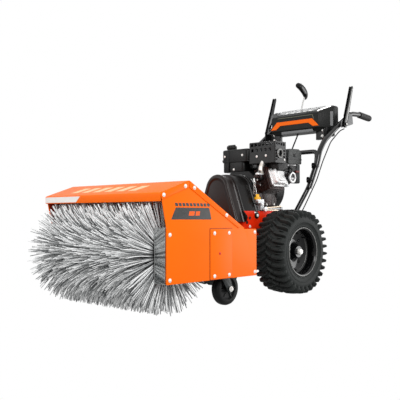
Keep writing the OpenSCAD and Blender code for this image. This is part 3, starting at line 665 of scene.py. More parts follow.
# Rim section as (offset outward from the tyre's middle, radius): lip, well, dish and hub
RIM_SECTION = [
    (66, 112.5), (69, 116.5), (72.5, 118), (75, 116), (75, 111), (72, 107), (66, 104), (52, 101.5),
    (40, 100.5), (36, 103), (30, 103), (27, 99), (24, 94), (17, 88), (13, 80), (9.5, 60), (6.5, 42),
    (8, 36), (12, 33), (44, 30), (48, 27), (48, 13.2), (-10, 13.2), (-10, 30),
    (1, 36), (4, 60), (8, 82), (14, 92), (-18, 97), (-52, 99), (-66, 104), (-72, 110), (-72, 117),
    (-68, 116), (-60, 108), (-40, 103), (0, 101), (34, 106), (50, 106),
]


def drive_rim(name, side, node):
    """A dished rim with its rivets, valve and bright edges, and the axle's end."""
    section = [(side * d, r) for d, r in RIM_SECTION]
    mesh = lathe(section, (side * WHEEL_X, 0, AXLE_Z), "x", 96)
    build(name, mesh, "gloss_black", "drive_wheels", replaces=node)
    parts = []
    # Bolts round the dish and a valve in the well
    for a in circle(4, math.pi / 4):
        cy, cz = 72 * math.cos(a), AXLE_Z + 72 * math.sin(a)
        x0 = side * (WHEEL_X + 11)
        parts.append(lathe([(0, 0.1), (0, 7.5), (side * 3, 7.0), (side * 5, 4.5), (side * 5.8, 0.1)],
                           (x0, cy, cz), "x", 14, closed=False))
    build(name + "_rivets", join(*parts), "gloss_black", "drive_wheels", smooth=50)
    mesh = tube(
        [(side * (WHEEL_X + 22), 66, AXLE_Z + 66), (side * (WHEEL_X + 46), 64, AXLE_Z + 64)], [4.2, 3.4], 10)
    build(name + "_valve", mesh, "rubber", "drive_wheels", smooth=35)
    # Cap ring over the lip, in pale grey as a painted highlight on the black rim's edge
    mesh = lathe(
        [(side * 73.5, 117), (side * 76, 116), (side * 76.5, 113.5), (side * 75, 112)],
        (side * WHEEL_X, 0, AXLE_Z), "x", 96)
    build(name + "_edge", mesh, "worn_grey", "drive_wheels", smooth=60)
    # A pale grey ring on the dish's step, also a painted highlight
    mesh = lathe(
        [(side * 24.5, 96.5), (side * 27, 97.5), (side * 28.5, 95.5), (side * 26, 93.5), (side * 23.5, 94)],
        (side * WHEEL_X, 0, AXLE_Z), "x", 96)
    build(name + "_step", mesh, "worn_grey", "drive_wheels", smooth=60)
    # Axle end with a retaining collar and its cross pin
    ex = side * 300
    mesh = join(
        lathe(
            [(0, 0.1), (0, 14.5), (side * 12, 14.5), (side * 14, 13), (side * 14, 0.1)], (ex, 0, AXLE_Z), "x",
            32, closed=False),
        lathe(
            [(side * 13, 11.6), (side * 16, 11.6), (side * 17, 10.5), (side * 17, 0.1)], (ex, 0, AXLE_Z), "x",
            28, closed=False))
    build(name + "_collar", mesh, "bolt", "drive_wheels")
    mesh = tube([(ex + side * 6, -21, AXLE_Z + 5), (ex + side * 6, 21, AXLE_Z - 5)], 2.6, 10)
    build(name + "_pin", mesh, "zinc", "drive_wheels", smooth=35)


drive_tyre("left_tyre_treaded", WHEEL_X, "left_tyre")
drive_tyre("right_tyre_treaded", -WHEEL_X, "right_tyre")
drive_rim("left_rim_dished", 1, "left_rim")
drive_rim("right_rim_dished", -1, "right_rim")

# ---------------------------------------------------------------- brush hood

HOOD_IN, HOOD_OUT = 370.0, 373.0
# How far out the side decals lie
DECAL_X = HOOD_OUT + 0.35


def dome_bolts(name, points, r, key, x, side, replaces=None):
    """Low round bolt heads on a plane of constant x, on the brush head."""
    profile = [(0, 0.1), (0, r * 1.25), (side * 0.9, r * 1.25), (side * 1.0, r), (side * r * 0.45, r * 0.82),
               (side * r * 0.62, r * 0.45), (side * r * 0.66, 0.1)]
    build(name, join(*[lathe(profile, (x, y, z), "x", 20, closed=False) for y, z in points]), key,
          "brush_head", smooth=50, replaces=replaces)


def bent_line(points, r, steps=5):
    """An open line with its inner corners rounded."""
    out = [points[0]]
    for a, p, b in zip(points, points[1:], points[2:]):
        p, a, b = Vector(p), Vector(a), Vector(b)
        pa, pb = p + (a - p).normalized() * r, p + (b - p).normalized() * r
        out += [tuple((1 - t) ** 2 * pa + 2 * t * (1 - t) * p + t * t * pb)
                for t in [k / steps for k in range(steps + 1)]]
    return out + [points[-1]]


def offset_line(points, d):
    """The line moved sideways by d, to its left."""
    out = []
    for i, p in enumerate(points):
        a = Vector(points[max(i - 1, 0)])
        b = Vector(points[min(i + 1, len(points) - 1)])
        t = (b - a).normalized()
        out.append((p[0] - d * t.y, p[1] + d * t.x))
    return out


# The hood sheet seen from the side as [y, z], from its lip back to its rear edge
HOOD_LINE = [(-966, 428), (-966, 459), (-818, 509), (-495, 325)]


def hood_pieces():
    """The brush hood, its side plates, shields, covers, decals and bolts."""
    line = bent_line(HOOD_LINE, 7)
    inner = offset_line(line, -3.0)
    mesh = prism(line + inner[::-1], "x", -HOOD_OUT, HOOD_OUT)
    build("hood_sheet", mesh, "orange", "brush_head", bevel=0.7, replaces="brush_hood")
    # A rolled safety edge under the lip
    mesh = tube([(-HOOD_IN + 2, -963.5, 429.5), (HOOD_IN - 2, -963.5, 429.5)], 2.2, 10)
    build("hood_lip_roll", mesh, "orange", "brush_head", smooth=35)
    for side, tag in SIDES:
        # Folded flange over the side plate, with an open mitre where the two bends meet
        parts = []
        for a, b, c, d in (((-966, 457), (-820, 506), (-823, 482), (-960, 434)),
                           ((-817, 506), (-517, 335), (-534, 324), (-820, 482))):
            parts.append(across(rounded_outline([a, b, c, d], 3.5, 3), side, HOOD_OUT, HOOD_OUT + 2.6))
        build(f"hood_flange_{tag}", join(*parts), "orange", "brush_head", smooth=35, bevel=0.6)
        outline = [(-935, 125), (-416, 125), (-416, 320), (-495, 321), (-818, 505), (-962.5, 456),
                   (-935, 331)]
        mesh = across(rounded_outline(outline, [5, 5, 7, 2, 2, 2, 14], 4), side, HOOD_IN, HOOD_OUT)
        build(
            f"side_plate_{tag}", mesh, "orange", "brush_head", smooth=35, bevel=0.7,
            replaces=f"{tag}_side_plate")
        # The inner faces, duller, in orange darkened by painted shade
        outline = [(-930, 130), (-421, 130), (-421, 316), (-497, 316), (-816, 499), (-957, 452), (-930, 333)]
        mesh = across(rounded_outline(outline, 4, 3), side, HOOD_IN - 0.5, HOOD_IN - 0.1)
        build(f"plate_inner_face_{tag}", mesh, "orange_inside", "brush_head", smooth=35)
        lo, hi = sorted((side * 312, side * (HOOD_IN - 0.6)))
        v, f = prism([(-938, 128), (-934.5, 128), (-934.5, 331), (-938, 331)], "x", lo, hi)
        rolls = [tube([(side * 312, -936.5, 129), (side * 312, -936.5, 330)], 2.6, 12),
                 tube([(lo, -936.5, 330.5), (hi, -936.5, 330.5)], 2.2, 10),
                 tube([(lo, -936.5, 128.5), (hi, -936.5, 128.5)], 2.2, 10)]
        mesh = join((v, f), *rolls)
        build(f"bristle_shield_{tag}", mesh, "polished", "brush_head", smooth=45, replaces="bristle_shields")
    # Access covers, a little proud, with their seams
    outline = rounded_outline([(-704, 127), (-575, 127), (-575, 324), (-704, 324)], 4, 3)
    mesh = join(*[across(outline, side, HOOD_OUT + 0.4, HOOD_OUT + 2.2) for side in (1, -1)])
    build("access_covers", mesh, "orange", "brush_head", smooth=35, bevel=0.7, replaces="side_access_covers")
    outline = [(-706.5, 125.5), (-573, 125.5), (-573, 326.5), (-706.5, 326.5)]
    mesh = join(*[across(outline, side, HOOD_OUT, HOOD_OUT + 0.5) for side in (1, -1)])
    build("access_cover_seams", mesh, "seam", "brush_head", smooth=35)
    # Side decal: a black panel with slanted ends, bright bars on it and dashes over it
    for side, tag in SIDES:
        outline = rounded_outline([(-889, 406), (-709, 406), (-696, 361), (-912, 362)], 3, 3)
        mesh = across(outline, side, DECAL_X, DECAL_X + 0.25)
        build(f"side_decal_{tag}", mesh, "decal", "brush_head", smooth=35)
        # A row of short slanted dashes, in place of lettering
        mesh = join(*[
            across([(y, 411), (y + 14, 411), (y + 10, 423), (y - 4, 423)], side, DECAL_X, DECAL_X + 0.25)
            for y in range(-890, -715, 19)])
        build(f"side_dashes_{tag}", mesh, "decal", "brush_head", smooth=35)
        mesh = join(*[
            across([(a, 376), (b, 376), (b + 4, 392), (a + 4, 392)], side, DECAL_X + 0.3, DECAL_X + 0.45)
            for a, b in ((-822, -793), (-786, -764))])
        build(f"side_chevrons_{tag}", mesh, "decal_orange", "brush_head", smooth=35)
    mesh = prism([(-370, 431), (-143, 431), (-115, 455), (-370, 455)], "y", -966.6, -966.25)
    build("lip_decal", mesh, "decal_white", "brush_head", smooth=35)
    # Plain slanted bars on the roof, in place of lettering
    def on_roof(x, y, up):
        (y0, z0), (y1, z1) = HOOD_LINE[1], HOOD_LINE[2]
        return (x, y, z0 + (z1 - z0) * (y - y0) / (y1 - y0) + up)
    bars = []
    for i in range(6):
        x = -232 + 76 * i
        low = [on_roof(x, -930, 0.1), on_roof(x + 46, -930, 0.1), on_roof(x + 62, -868, 0.1),
               on_roof(x + 16, -868, 0.1)]
        bars.append(slab(low, [(a, b, c + 0.3) for a, b, c in low]))
    build("roof_bars", join(*bars), "decal_pale", "brush_head", smooth=35)
    cover_x = HOOD_OUT + 2.2
    for side, tag in SIDES:
        dome_bolts(f"hood_bolts_{tag}", [(-841, 486), (-793, 481), (-609, 378), (-951, 451)], 6.0, "bolt",
                   side * (HOOD_OUT + 2.6), side)
        dome_bolts(f"plate_bolts_{tag}", [(-918, 306), (-918, 141), (-427, 307), (-427, 141)], 6.0, "bolt",
                   side * HOOD_OUT, side)
        dome_bolts(f"cover_bolts_{tag}", [(-680, 307), (-593, 307), (-680, 140), (-593, 140)], 6.0, "bolt",
                   side * cover_x, side, replaces="head_bolts")
        dome_bolts(f"cover_plug_{tag}", [(-649, 227)], 4.5, "plug_red", side * cover_x, side)


hood_pieces()

# ---------------------------------------------------------------- engine


def soft_box(lo, hi, r, top=4.0, bottom=4.0, axis="z", steps=4):
    """A box with rounded corners in plan and rounded edges at both ends of an axis."""
    order = {"z": (0, 1, 2), "x": (1, 2, 0), "y": (0, 2, 1)}[axis]
    u0, u1 = lo[order[0]], hi[order[0]]
    v0, v1 = lo[order[1]], hi[order[1]]
    w0, w1 = lo[order[2]], hi[order[2]]
    rings = [(w0 + bottom * (1 - math.cos(math.pi / 2 * k / steps)),
              bottom * (1 - math.sin(math.pi / 2 * k / steps))) for k in range(steps + 1)]
    rings += [(w1 - top * (1 - math.sin(math.pi / 2 * k / steps)),
               top * (1 - math.cos(math.pi / 2 * k / steps))) for k in range(steps + 1)]
    verts = []
    for w, inset in rings:
        rr = max(r - inset, 0.3)
        ring = []
        for cu, cv, a0 in ((u1 - inset - rr, v1 - inset - rr, 0), (u0 + inset + rr, v1 - inset - rr, 90),
                           (u0 + inset + rr, v0 + inset + rr, 180), (u1 - inset - rr, v0 + inset + rr, 270)):
            for k in range(steps + 1):
                a = math.radians(a0 + 90 * k / steps)
                ring.append((cu + rr * math.cos(a), cv + rr * math.sin(a)))
        for u, v in ring:
            q = [0, 0, 0]
            q[order[0]], q[order[1]], q[order[2]] = u, v, w
            verts.append(tuple(q))
    return verts, band(len(rings), len(verts) // len(rings), caps=True)


def panel(axis, level, t, u_range, v_range, windows):
    """A flat sheet with rectangular windows. Its plane is axis = level, and it is t thick."""
    us = sorted({*u_range, *(w[0] for w in windows), *(w[1] for w in windows)})
    vs = sorted({*v_range, *(w[2] for w in windows), *(w[3] for w in windows)})

    def solid(i, k):
        if not (0 <= i < len(us) - 1 and 0 <= k < len(vs) - 1):
            return False
        u, v = (us[i] + us[i + 1]) / 2, (vs[k] + vs[k + 1]) / 2
        return not any(w[0] < u < w[1] and w[2] < v < w[3] for w in windows)

    def at(u, v, w):
        return {"x": (w, u, v), "y": (u, w, v), "z": (u, v, w)}[axis]
    verts, faces = [], []

    def quad(*pts):
        k = len(verts)
        verts.extend(pts)
        faces.append((k, k + 1, k + 2, k + 3))
    for i in range(len(us) - 1):
        for k in range(len(vs) - 1):
            if not solid(i, k):
                continue
            a, b, c, d = us[i], us[i + 1], vs[k], vs[k + 1]
            for w in (level, level + t):
                quad(at(a, c, w), at(b, c, w), at(b, d, w), at(a, d, w))
            for di, dk, p, q in ((-1, 0, (a, c), (a, d)), (1, 0, (b, c), (b, d)),
                                 (0, -1, (a, c), (b, c)), (0, 1, (a, d), (b, d))):
                if not solid(i + di, k + dk):
                    quad(at(*p, level), at(*q, level), at(*q, level + t), at(*p, level + t))
    return verts, faces


def screw(centre, r, axis, out=1, hexagon=True):
    """A hexagon or pan head with a washer, standing out along an axis."""
    washer = lathe([(0, 0.1), (0, r * 1.3), (out * 1.2, r * 1.3), (out * 1.2, 0.1)], centre, axis, 18,
                   closed=False)
    steps = 6 if hexagon else 16
    head = lathe([(out * 1.0, 0.1), (out * 1.0, r), (out * (0.5 * r + 1), r), (out * (0.62 * r + 1), r * 0.8),
                  (out * (0.62 * r + 1), 0.1)], centre, axis, steps, closed=False)
    return join(washer, head)


def screws(axis, out, hexagon, *spots):
    """Several screws alike, each given as (x, y, z, radius)."""
    return join(*[screw(spot[:3], spot[3], axis, out, hexagon) for spot in spots])


def fluted(rings, steps, every, depth, span, centre, wings=(1e9, 1.0)):
    """A cap turned about the vertical through centre, with flutes of a depth within a span of
    heights. Above the first value of wings it is flattened by the second."""
    verts = []
    for z, r in rings:
        for k, a in enumerate(circle(steps)):
            rr = r - (depth if (k % every == 0 and span[0] < z < span[1]) else 0)
            squeeze = wings[1] if z > wings[0] else 1.0
            verts.append((centre[0] + rr * math.cos(a) / squeeze ** 0.5,
                          centre[1] + rr * math.sin(a) * squeeze, z))
    return verts, band(len(rings), steps)


# The middles of the exhaust outlet and of the choke's ring
OUTLET, CHOKE = (203, -18, 680), (173, 125, 569)


def tank_and_guard():
    """The fuel tank with its cap, and the muffler's guard with windows cut through its sheets."""
    mesh = join(
        soft_box((-145, -55, 649), (34, 74, 716), 20, top=9, bottom=3),
        soft_box((-142, -51, 598), (2, 70, 652), 17, top=2, bottom=5),
        soft_box((-147, -57, 650), (36, 76, 655), 21, top=1.5, bottom=1.5),
        soft_box((-104, -58, 600), (-93, -50, 712), 3, top=3, bottom=3),
        soft_box((-147, 4, 600), (-140, 16, 708), 3, top=3, bottom=3),
        soft_box((-36, -40, 590), (6, 40, 600), 5, top=1, bottom=2))
    build("tank_shell", mesh, "plastic", replaces="fuel_tank")
    mesh = screws(
        "y", -1, False, (-121, -55.5, 681, 4.4), (-4, -55.5, 683, 4.4), (-63, -51.5, 612, 4.6),
        (-53, -60, 588, 5.2))
    build("tank_screws", mesh, "bolt")
    mesh = join(
        tube([(-53, -62, 588), (-53, -20, 588)], 5.5, 12),
        tube([(-149, -40, 661), (-143, -40, 661)], 4.5, 10),
        lathe([(714, 24), (718, 24), (724, 22), (724, 18), (714, 18)], (-112, -10, 0), "z", 32))
    build("tank_standoffs", mesh, "engine")
    # Ribbed filler cap
    rings = [(722, 25.2), (724, 26.4), (733, 26.6), (737, 26), (739, 24.6), (740, 20), (740, 12),
             (742, 10), (742, 0.2)]
    mesh = join(
        fluted(rings, 72, 3, 1.3, (723, 738), (-112, -10)),
        soft_box((-136, -14, 738), (-88, -6, 746), 3, top=3, bottom=1))
    build("tank_cap_ribbed", mesh, "plastic", "fuel_cap", smooth=45, replaces="fuel_cap")

    # Muffler guard: five sheet faces with real windows
    rows = [(55 + 27 * i, 69 + 27 * i, 692, 708) for i in range(5)]
    rows += [(50 + 24 * i, 68 + 24 * i, 719, 733) for i in range(6)]
    side = [(-51, -37, 646 + 14 * i, 654 + 14 * i) for i in range(4)]
    side += [(-48 + 19 * i, -35 + 19 * i, 719, 732) for i in range(4)]
    side += [(10, 26, 660 + 15 * i, 668 + 15 * i) for i in range(3)]
    hole = [(-36, 0, 662, 698)]
    top = [(52 + 24 * i, 66 + 24 * i, -46, -14) for i in range(6)]
    top += [(52 + 24 * i, 66 + 24 * i, -4, 26) for i in range(6)]
    mesh = join(
        panel("y", -55, 2, (45, 199), (634, 736), rows),
        panel("x", 201, 2, (-51, 31), (634, 736), side + hole),
        panel("x", 41, 2, (-51, 31), (634, 736), [(-40, 20, 650, 720)]),
        panel("y", 33, 2, (45, 199), (634, 736), [(60, 184, 646, 720)]),
        panel("z", 738, 2, (45, 199), (-51, 31), top))
    build("guard_sheet", mesh, "guard", smooth=30, replaces="muffler_guard")
    # Rounded corners and edges between the faces
    corners = (44.5, 199.5)
    edges = [tube([(x, y, 634), (x, y, 737)], 3.6, 14) for y in (-51.5, 31.5) for x in corners]
    edges += [tube([(44, y, 736.5), (200, y, 736.5)], 3.6, 14) for y in (-51.5, 31.5)]
    edges += [tube([(x, -52, 736.5), (x, 32, 736.5)], 3.6, 14) for x in corners]
    edges += [tube([(x, -51.5, 636), (x, 31.5, 636)], 3.0, 12) for x in corners]
    edges.append(tube([(44, -52.5, 636), (200, -52.5, 636)], 3.0, 12))
    build("guard_rounds", join(*edges), "guard", smooth=50)
    mesh = join(
        lathe([(0, 16), (0, 23), (3, 24), (5, 22.5), (5.5, 19), (4, 16.5)], OUTLET, "x", 40),
        lathe([(-16, 13.4), (-16, 16.3), (5, 16.3), (6.5, 14.8), (5, 13.4)], OUTLET, "x", 36))
    build("outlet_ring", mesh, "worn_grey")
    mesh = join(
        screws("y", -1, False, (90, -55.5, 669, 4.6), (147, -55.5, 670, 4.6)),
        screw((120, 0, 740.5), 4.6, "z", 1, False), screw((203.5, 18, 650), 4.2, "x", 1, False))
    build("guard_screws", mesh, "bolt")
    # Fan shroud deck between the tank and the guard, with its top grille
    bars = [soft_box((38 + 15 * i, -30, 716), (46 + 15 * i, 40, 728), 2, top=2, bottom=1) for i in range(4)]
    mesh = join(
        soft_box((34, -40, 640), (44, 60, 722), 4, top=4, bottom=2),
        soft_box((30, 34, 600), (120, 84, 716), 10, top=8, bottom=2), *bars)
    build("shroud_deck", mesh, "plastic")


def rib_box(centre, half, count, axis):
    """A row of thin cooling fins along one axis."""
    parts = []
    for i in range(count):
        t = (i + 0.5) / count * 2 - 1
        lo = [centre[k] - half[k] for k in range(3)]
        hi = [centre[k] + half[k] for k in range(3)]
        lo[axis] = centre[axis] + t * half[axis] - 1.3
        hi[axis] = centre[axis] + t * half[axis] + 1.3
        parts.append(soft_box(lo, hi, 1.2, top=0.8, bottom=0.8, steps=2))
    return join(*parts)


# The crankshaft's height, and the cylinder's tilt above the horizontal in degrees
CRANK_Z, CYLINDER_TILT = 510, 18


def tilt(part):
    """From the cylinder's own axes (x along the bore) to the machine's."""
    c, d = math.cos(math.radians(CYLINDER_TILT)), math.sin(math.radians(CYLINDER_TILT))
    verts, faces = part
    return [(x * c - z * d, y, x * d + z * c + CRANK_Z) for x, y, z in verts], faces


def engine_block():
    """The crankcase, the tilted cylinder and what is fixed to them."""
    refine("crankcase", "engine", 1.6)
    refine("blower_housing", "engine", 1.6)
    refine("engine_plate", "plate", 0.8)
    # Valve cover: a bright pressed cap with a stepped rim, ribs and bolts
    mesh = tilt(join(
        soft_box((168, -42, -46), (176, 58, 46), 13, top=2, bottom=2, axis="x"),
        soft_box((168, 44, -34), (179, 84, -8), 9, top=3, bottom=2, axis="x"),
        soft_box((174, -34, -39), (202, 46, 37), 15, top=9, bottom=2, axis="x"),
        soft_box((198, -20, -28), (209, 30, 24), 9, top=4, bottom=2, axis="x"),
        lathe([(34, 0.2), (34, 9), (42, 8), (44, 5), (44, 0.2)], (188, 10, 0), "z", 24, closed=False)))
    build("valve_cover", mesh, "bright_alloy", smooth=42)
    mesh = tilt(screws(
        "x", 1, True, (176, -37, -40, 4.4), (176, 51, -38, 4.4), (176, -37, 40, 4.4), (176, 51, 40, 4.4),
        (179, 72, -21, 5.5)))
    build("valve_cover_bolts", mesh, "zinc", smooth=35)
    fins = rib_box((146, 0, 0), (22, 62, 58), 6, 0)
    mesh = tilt(join(soft_box((118, -54, -50), (170, 56, 50), 12, top=2, bottom=2, axis="x"), fins))
    build("head_block", mesh, "engine_brown", smooth=35, replaces="cylinder_head")
    build("heat_shield", soft_box((56, -20, 596), (192, 70, 640), 8, top=4, bottom=4), "engine")
    build("cylinder_fins", tilt(rib_box((128, 0, 0), (26, 64, 60), 7, 0)), "engine_brown", smooth=30)
    # Exhaust elbow with its flange and nuts
    mesh = join(
        tube(spline([(123, -62, 583), (123, -66, 600), (122, -60, 618), (121, -46, 640)], 6), 11.5, 18),
        tube([(123, -63, 581), (123, -64, 588)], 15, 20))
    build("exhaust_elbow", mesh, "hot_steel", smooth=50)
    mesh = join(
        soft_box((110, -101, 575), (137, -24, 582), 12, top=1.5, bottom=1.5),
        screws("z", 1, True, (123, -92, 582, 5.2), (123, -33, 582, 5.2)))
    build("exhaust_flange", mesh, "bright_alloy", smooth=35)
    # Side cover of the crankcase, with ribs, bolts and a cast boss
    ribs = [soft_box((104, y, 418), (110, y + 5, 500), 2, top=1.5, bottom=1) for y in range(-66, 65, 26)]
    mesh = join(
        soft_box((100, -86, 424), (109, 84, 566), 26, top=4, bottom=1, axis="x"),
        lathe([(0, 0.2), (0, 19), (7, 17), (9, 13), (9, 0.2)], (107, -56, 528), "x", 28, closed=False),
        lathe([(0, 0.2), (0, 46), (4, 44), (6, 38), (6, 0.2)], (106, 8, 486), "x", 44, closed=False),
        soft_box((96, -92, 560), (126, -40, 574), 6, top=3, bottom=2), *ribs)
    build("crankcase_cover", mesh, "engine_brown")
    mesh = join(
        screws("x", 1, True, (116, -56, 528, 6.0), (109, 76, 512, 5.4)),
        *[
            screw((109, y, z), 4.0, "x", 1)
            for y, z in ((-76, 440), (-76, 552), (60, 432), (0, 430), (70, 556), (-30, 558))])
    build("crankcase_bolts", mesh, "bolt", smooth=35)
    # Rings of bolt bosses on the engine's front, seen over the belt cover's shoulder
    mesh = join(*[
        lathe([(0, 3.4), (0, 7.2), (-3, 7.2), (-3, 3.4)], (x, -88.5, z), "y", 24)
        for x, z in ((66, 537), (84, 500), (40, 566), (100, 452))])
    build("plate_rings", mesh, "zinc")
    # Governor arm, springs and small pipes beside the cylinder
    mesh = join(
        tube(spline([(96, -70, 470), (104, -84, 520), (100, -84, 560), (108, -60, 598)], 8), 2.6, 8),
        tube(spline([(70, -80, 560), (92, -86, 540), (108, -84, 500), (112, -84, 462)], 8), 2.0, 8),
        soft_box((94, -90, 452), (99, -80, 560), 2, top=1, bottom=1))
    build("governor_arm", mesh, "zinc", smooth=50)
    turn = [(2 * math.pi * k / 9, 470 + k * 0.9) for k in range(72)]
    mesh = tube([(104 + 4 * math.cos(a), -88 + 4 * math.sin(a), z) for a, z in turn], 0.9, 6)
    build("governor_spring", mesh, "zinc", smooth=60)
    # Spark plug boot and its lead back to the coil, and the fuel hose
    mesh = join(
        tilt(tube([(186, 30, -2), (232, 34, -2)], [9, 7.5], 14)),
        tube(spline([(218, 34, 574), (214, 70, 600), (168, 96, 618), (110, 92, 600)], 8), 3.6, 10),
        tube(spline([(10, 60, 600), (60, 84, 585), (110, 96, 575), (138, 92, 560)], 8), 4.0, 10))
    build("engine_hoses", mesh, "rubber", smooth=50)


def intake_side():
    """The air box, carburettor and controls."""
    outline = rounded_outline([(92, 637), (209, 640), (209, 703), (188, 718), (98, 714)], [6, 7, 8, 9, 8], 4)
    build("air_box", prism(outline, "x", 122, 175), "air_box", bevel=3.0, segs=3, replaces="intake_box")
    mesh = join(
        prism(rounded_outline([(90, 660), (211, 662), (211, 666), (90, 664)], 1, 2), "x", 120, 177),
        soft_box((128, 70, 640), (168, 96, 700), 8, top=4, bottom=3),
        soft_box((174, 140, 676), (179, 158, 690), 2, top=1.5, bottom=1, axis="x"))
    build("air_box_seam", mesh, "plastic")
    refine("carburettor", "alloy", 1.5)
    refine("control_panel", "plastic", 1.2)
    # Control housing: upright grey post, levers and the ring-shaped choke control
    mesh = join(
        soft_box((164, 172, 544), (173, 199, 638), 4, top=2, bottom=2),
        soft_box((150, 108, 600), (171, 176, 612), 4, top=2, bottom=2),
        soft_box((150, 112, 618), (169, 176, 628), 4, top=2, bottom=2),
        soft_box((146, 100, 541), (170, 196, 551), 4, top=2, bottom=2))
    build("control_housing", mesh, "grey_black")
    mesh = join(
        lathe([(0, 18), (0, 28), (3, 29.5), (7, 28.5), (9, 25), (9, 20), (6, 18)], CHOKE, "x", 48),
        lathe([(3, 0.2), (3, 5), (12, 4.4), (12.5, 0.2)], (173, 118, 563), "x", 20, closed=False))
    build("choke_ring", mesh, "bright_alloy", "choke_knob", replaces="choke_knob")
    mesh = join(
        lathe([(0, 0.2), (0, 18.2), (2.4, 18.2), (2.4, 0.2)], CHOKE, "x", 32, closed=False),
        soft_box((176, 115, 561), (184, 132, 566), 1.5, top=1, bottom=1))
    build("choke_centre", mesh, "plastic", "choke_knob")
    mesh = join(
        tube([(160, 165, 600), (176, 165, 600)], 6.0, 18),
        soft_box((175, 150, 595), (184, 180, 605), 3, top=2, bottom=1, axis="x"))
    build("key_switch", mesh, "red_dull", "ignition_key", replaces="ignition_key")
    mesh = join(
        tube(spline([(150, 100, 560), (165, 80, 590), (160, 84, 622), (150, 96, 640)], 8), 2.4, 8),
        rib_box((150, 150, 580), (14, 22, 22), 5, 2))
    build("carburettor_links", mesh, "dark_steel", smooth=45)


def oil_side():
    """The oil filler with its bracket, drain rods and winged cap."""
    refine("oil_filler", "alloy", 2.0)
    mesh = join(
        soft_box((126, -112, 446), (141, -62, 454), 3, top=1, bottom=1),
        screws("x", 1, True, (139, -72, 428, 5.5), (136, -46, 409, 6.5)),
        lathe([(0, 5), (0, 11), (10, 11), (10, 5)], (130, -46, 408), "x", 24))
    build("filler_bracket", mesh, "bright_alloy")
    mesh = join(
        tube([(130, -41, 413), (130, 92, 422)], 4.2, 12), tube([(124, -41, 403), (124, 70, 402)], 5.0, 12))
    build("drain_rods", mesh, "pale_rod", smooth=50)
    rings = [(452, 12), (454, 15), (464, 15), (466, 13.5), (466, 7), (467, 6.4), (478, 6), (480, 4),
             (480, 0.2)]
    mesh = join(
        fluted(rings, 48, 4, 1.2, (453, 465), (127, -97), wings=(466.5, 2.1)),
        tube([(127, -97, 437), (127, -97, 453)], 7.8, 16))
    build("oil_cap_winged", mesh, "yellow", "oil_cap", smooth=45, replaces="oil_cap")


def starter_side():
    """The vented starter at the rear, with its handle."""
    cord_x, cord_z = 76, 548
    cord_ends = [(cord_x, 168, cord_z), (cord_x, 186, cord_z)]
    verts, faces = soft_box((-36, 186, -9), (36, 206, 9), 8, top=6, bottom=4, axis="x")
    verts = [(x + cord_x, y - 4, z + cord_z) for x, y, z in verts]
    mesh = join((verts, faces), tube(cord_ends, [4, 6], 14))
    build(
        "starter_grip", mesh, "rubber", "recoil_handle", smooth=45,
        replaces="recoil_handle")
    # The starter cord, from the housing to the handle
    me = bpy.data.meshes.new("starter_cord")
    v, f = tube([(cord_x, 164 + 1.1 * k, cord_z) for k in range(23)], 2.2, 10)
    me.from_pydata([mm(*q) for q in v], [], f)
    cord = bpy.data.objects.new("starter_cord", me)
    bpy.context.scene.collection.objects.link(cord)
    me.materials.append(M["light_grey"])
    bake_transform(cord)
    spots = [(80 * math.cos(math.radians(a)), 160, CRANK_Z + 80 * math.sin(math.radians(a)), 4.2)
             for a in (30, 150, 270)]
    build("starter_screws", screws("y", 1, True, *spots, (0, 172, CRANK_Z, 6.5)), "zinc", smooth=35)


def arch_outline(foot, z0, r, top, steps=26):
    """Straight flanks from the foot up to a round crown, as in the CAD."""
    c = top - r
    d = math.hypot(foot, z0 - c)
    a0 = math.atan2(z0 - c, foot) + math.acos(r / d)
    pts = [(foot, z0)]
    for i in range(steps + 1):
        a = a0 + (math.pi - 2 * a0) * i / steps
        pts.append((r * math.cos(a), c + r * math.sin(a)))
    return pts + [(-foot, z0)]


def arch_loft(rings, z0, base):
    """Rings of (y, inset) along an arch of (half foot, crown radius, top)."""
    foot, r, top = base
    verts = []
    for y, inset in rings:
        verts += [(x, y, z) for x, z in arch_outline(foot - 1.06 * inset, z0, r - inset, top - inset)]
    return verts, band(len(rings), len(verts) // len(rings), caps=True)


def cover_of_belts():
    """The two steps of the belt cover, its bead and its feet."""
    front = [(-254.5, 27), (-254.8, 22), (-257, 19), (-257, 9), (-255.8, 5), (-252.5, 1.6), (-248, 0),
             (-210, 0), (-206, -3.5), (-197, -3.5), (-195, 0)]
    mesh = arch_loft(front, 347, (130, 72, 572))
    build("belt_cover_front", mesh, "cover_front", smooth=38, replaces="belt_cover")
    rear = [(-196, 9), (-193, 3), (-188, 0), (-104, 0), (-100, -4), (-90, -4), (-88.5, 0)]
    build("belt_cover_rear", arch_loft(rear, 398.5, (124, 84, 577)), "cover", smooth=38)
    # Rolled bead along the front step's edge, in paler grey as a painted highlight
    line = arch_outline(130 + 1, 349, 72, 572)
    build("belt_cover_bead", tube([(x, -249, z) for x, z in line], 2.4, 8), "cover_edge", smooth=60)
    foot = [(96, 346), (142, 346), (150, 372), (120, 402), (96, 402)]
    mesh = join(*[
        prism(rounded_outline([(side * x, z) for x, z in foot], 8, 4), "y", -204, -198) for side in (1, -1)])
    build("belt_cover_feet", mesh, "cover", bevel=1.0)


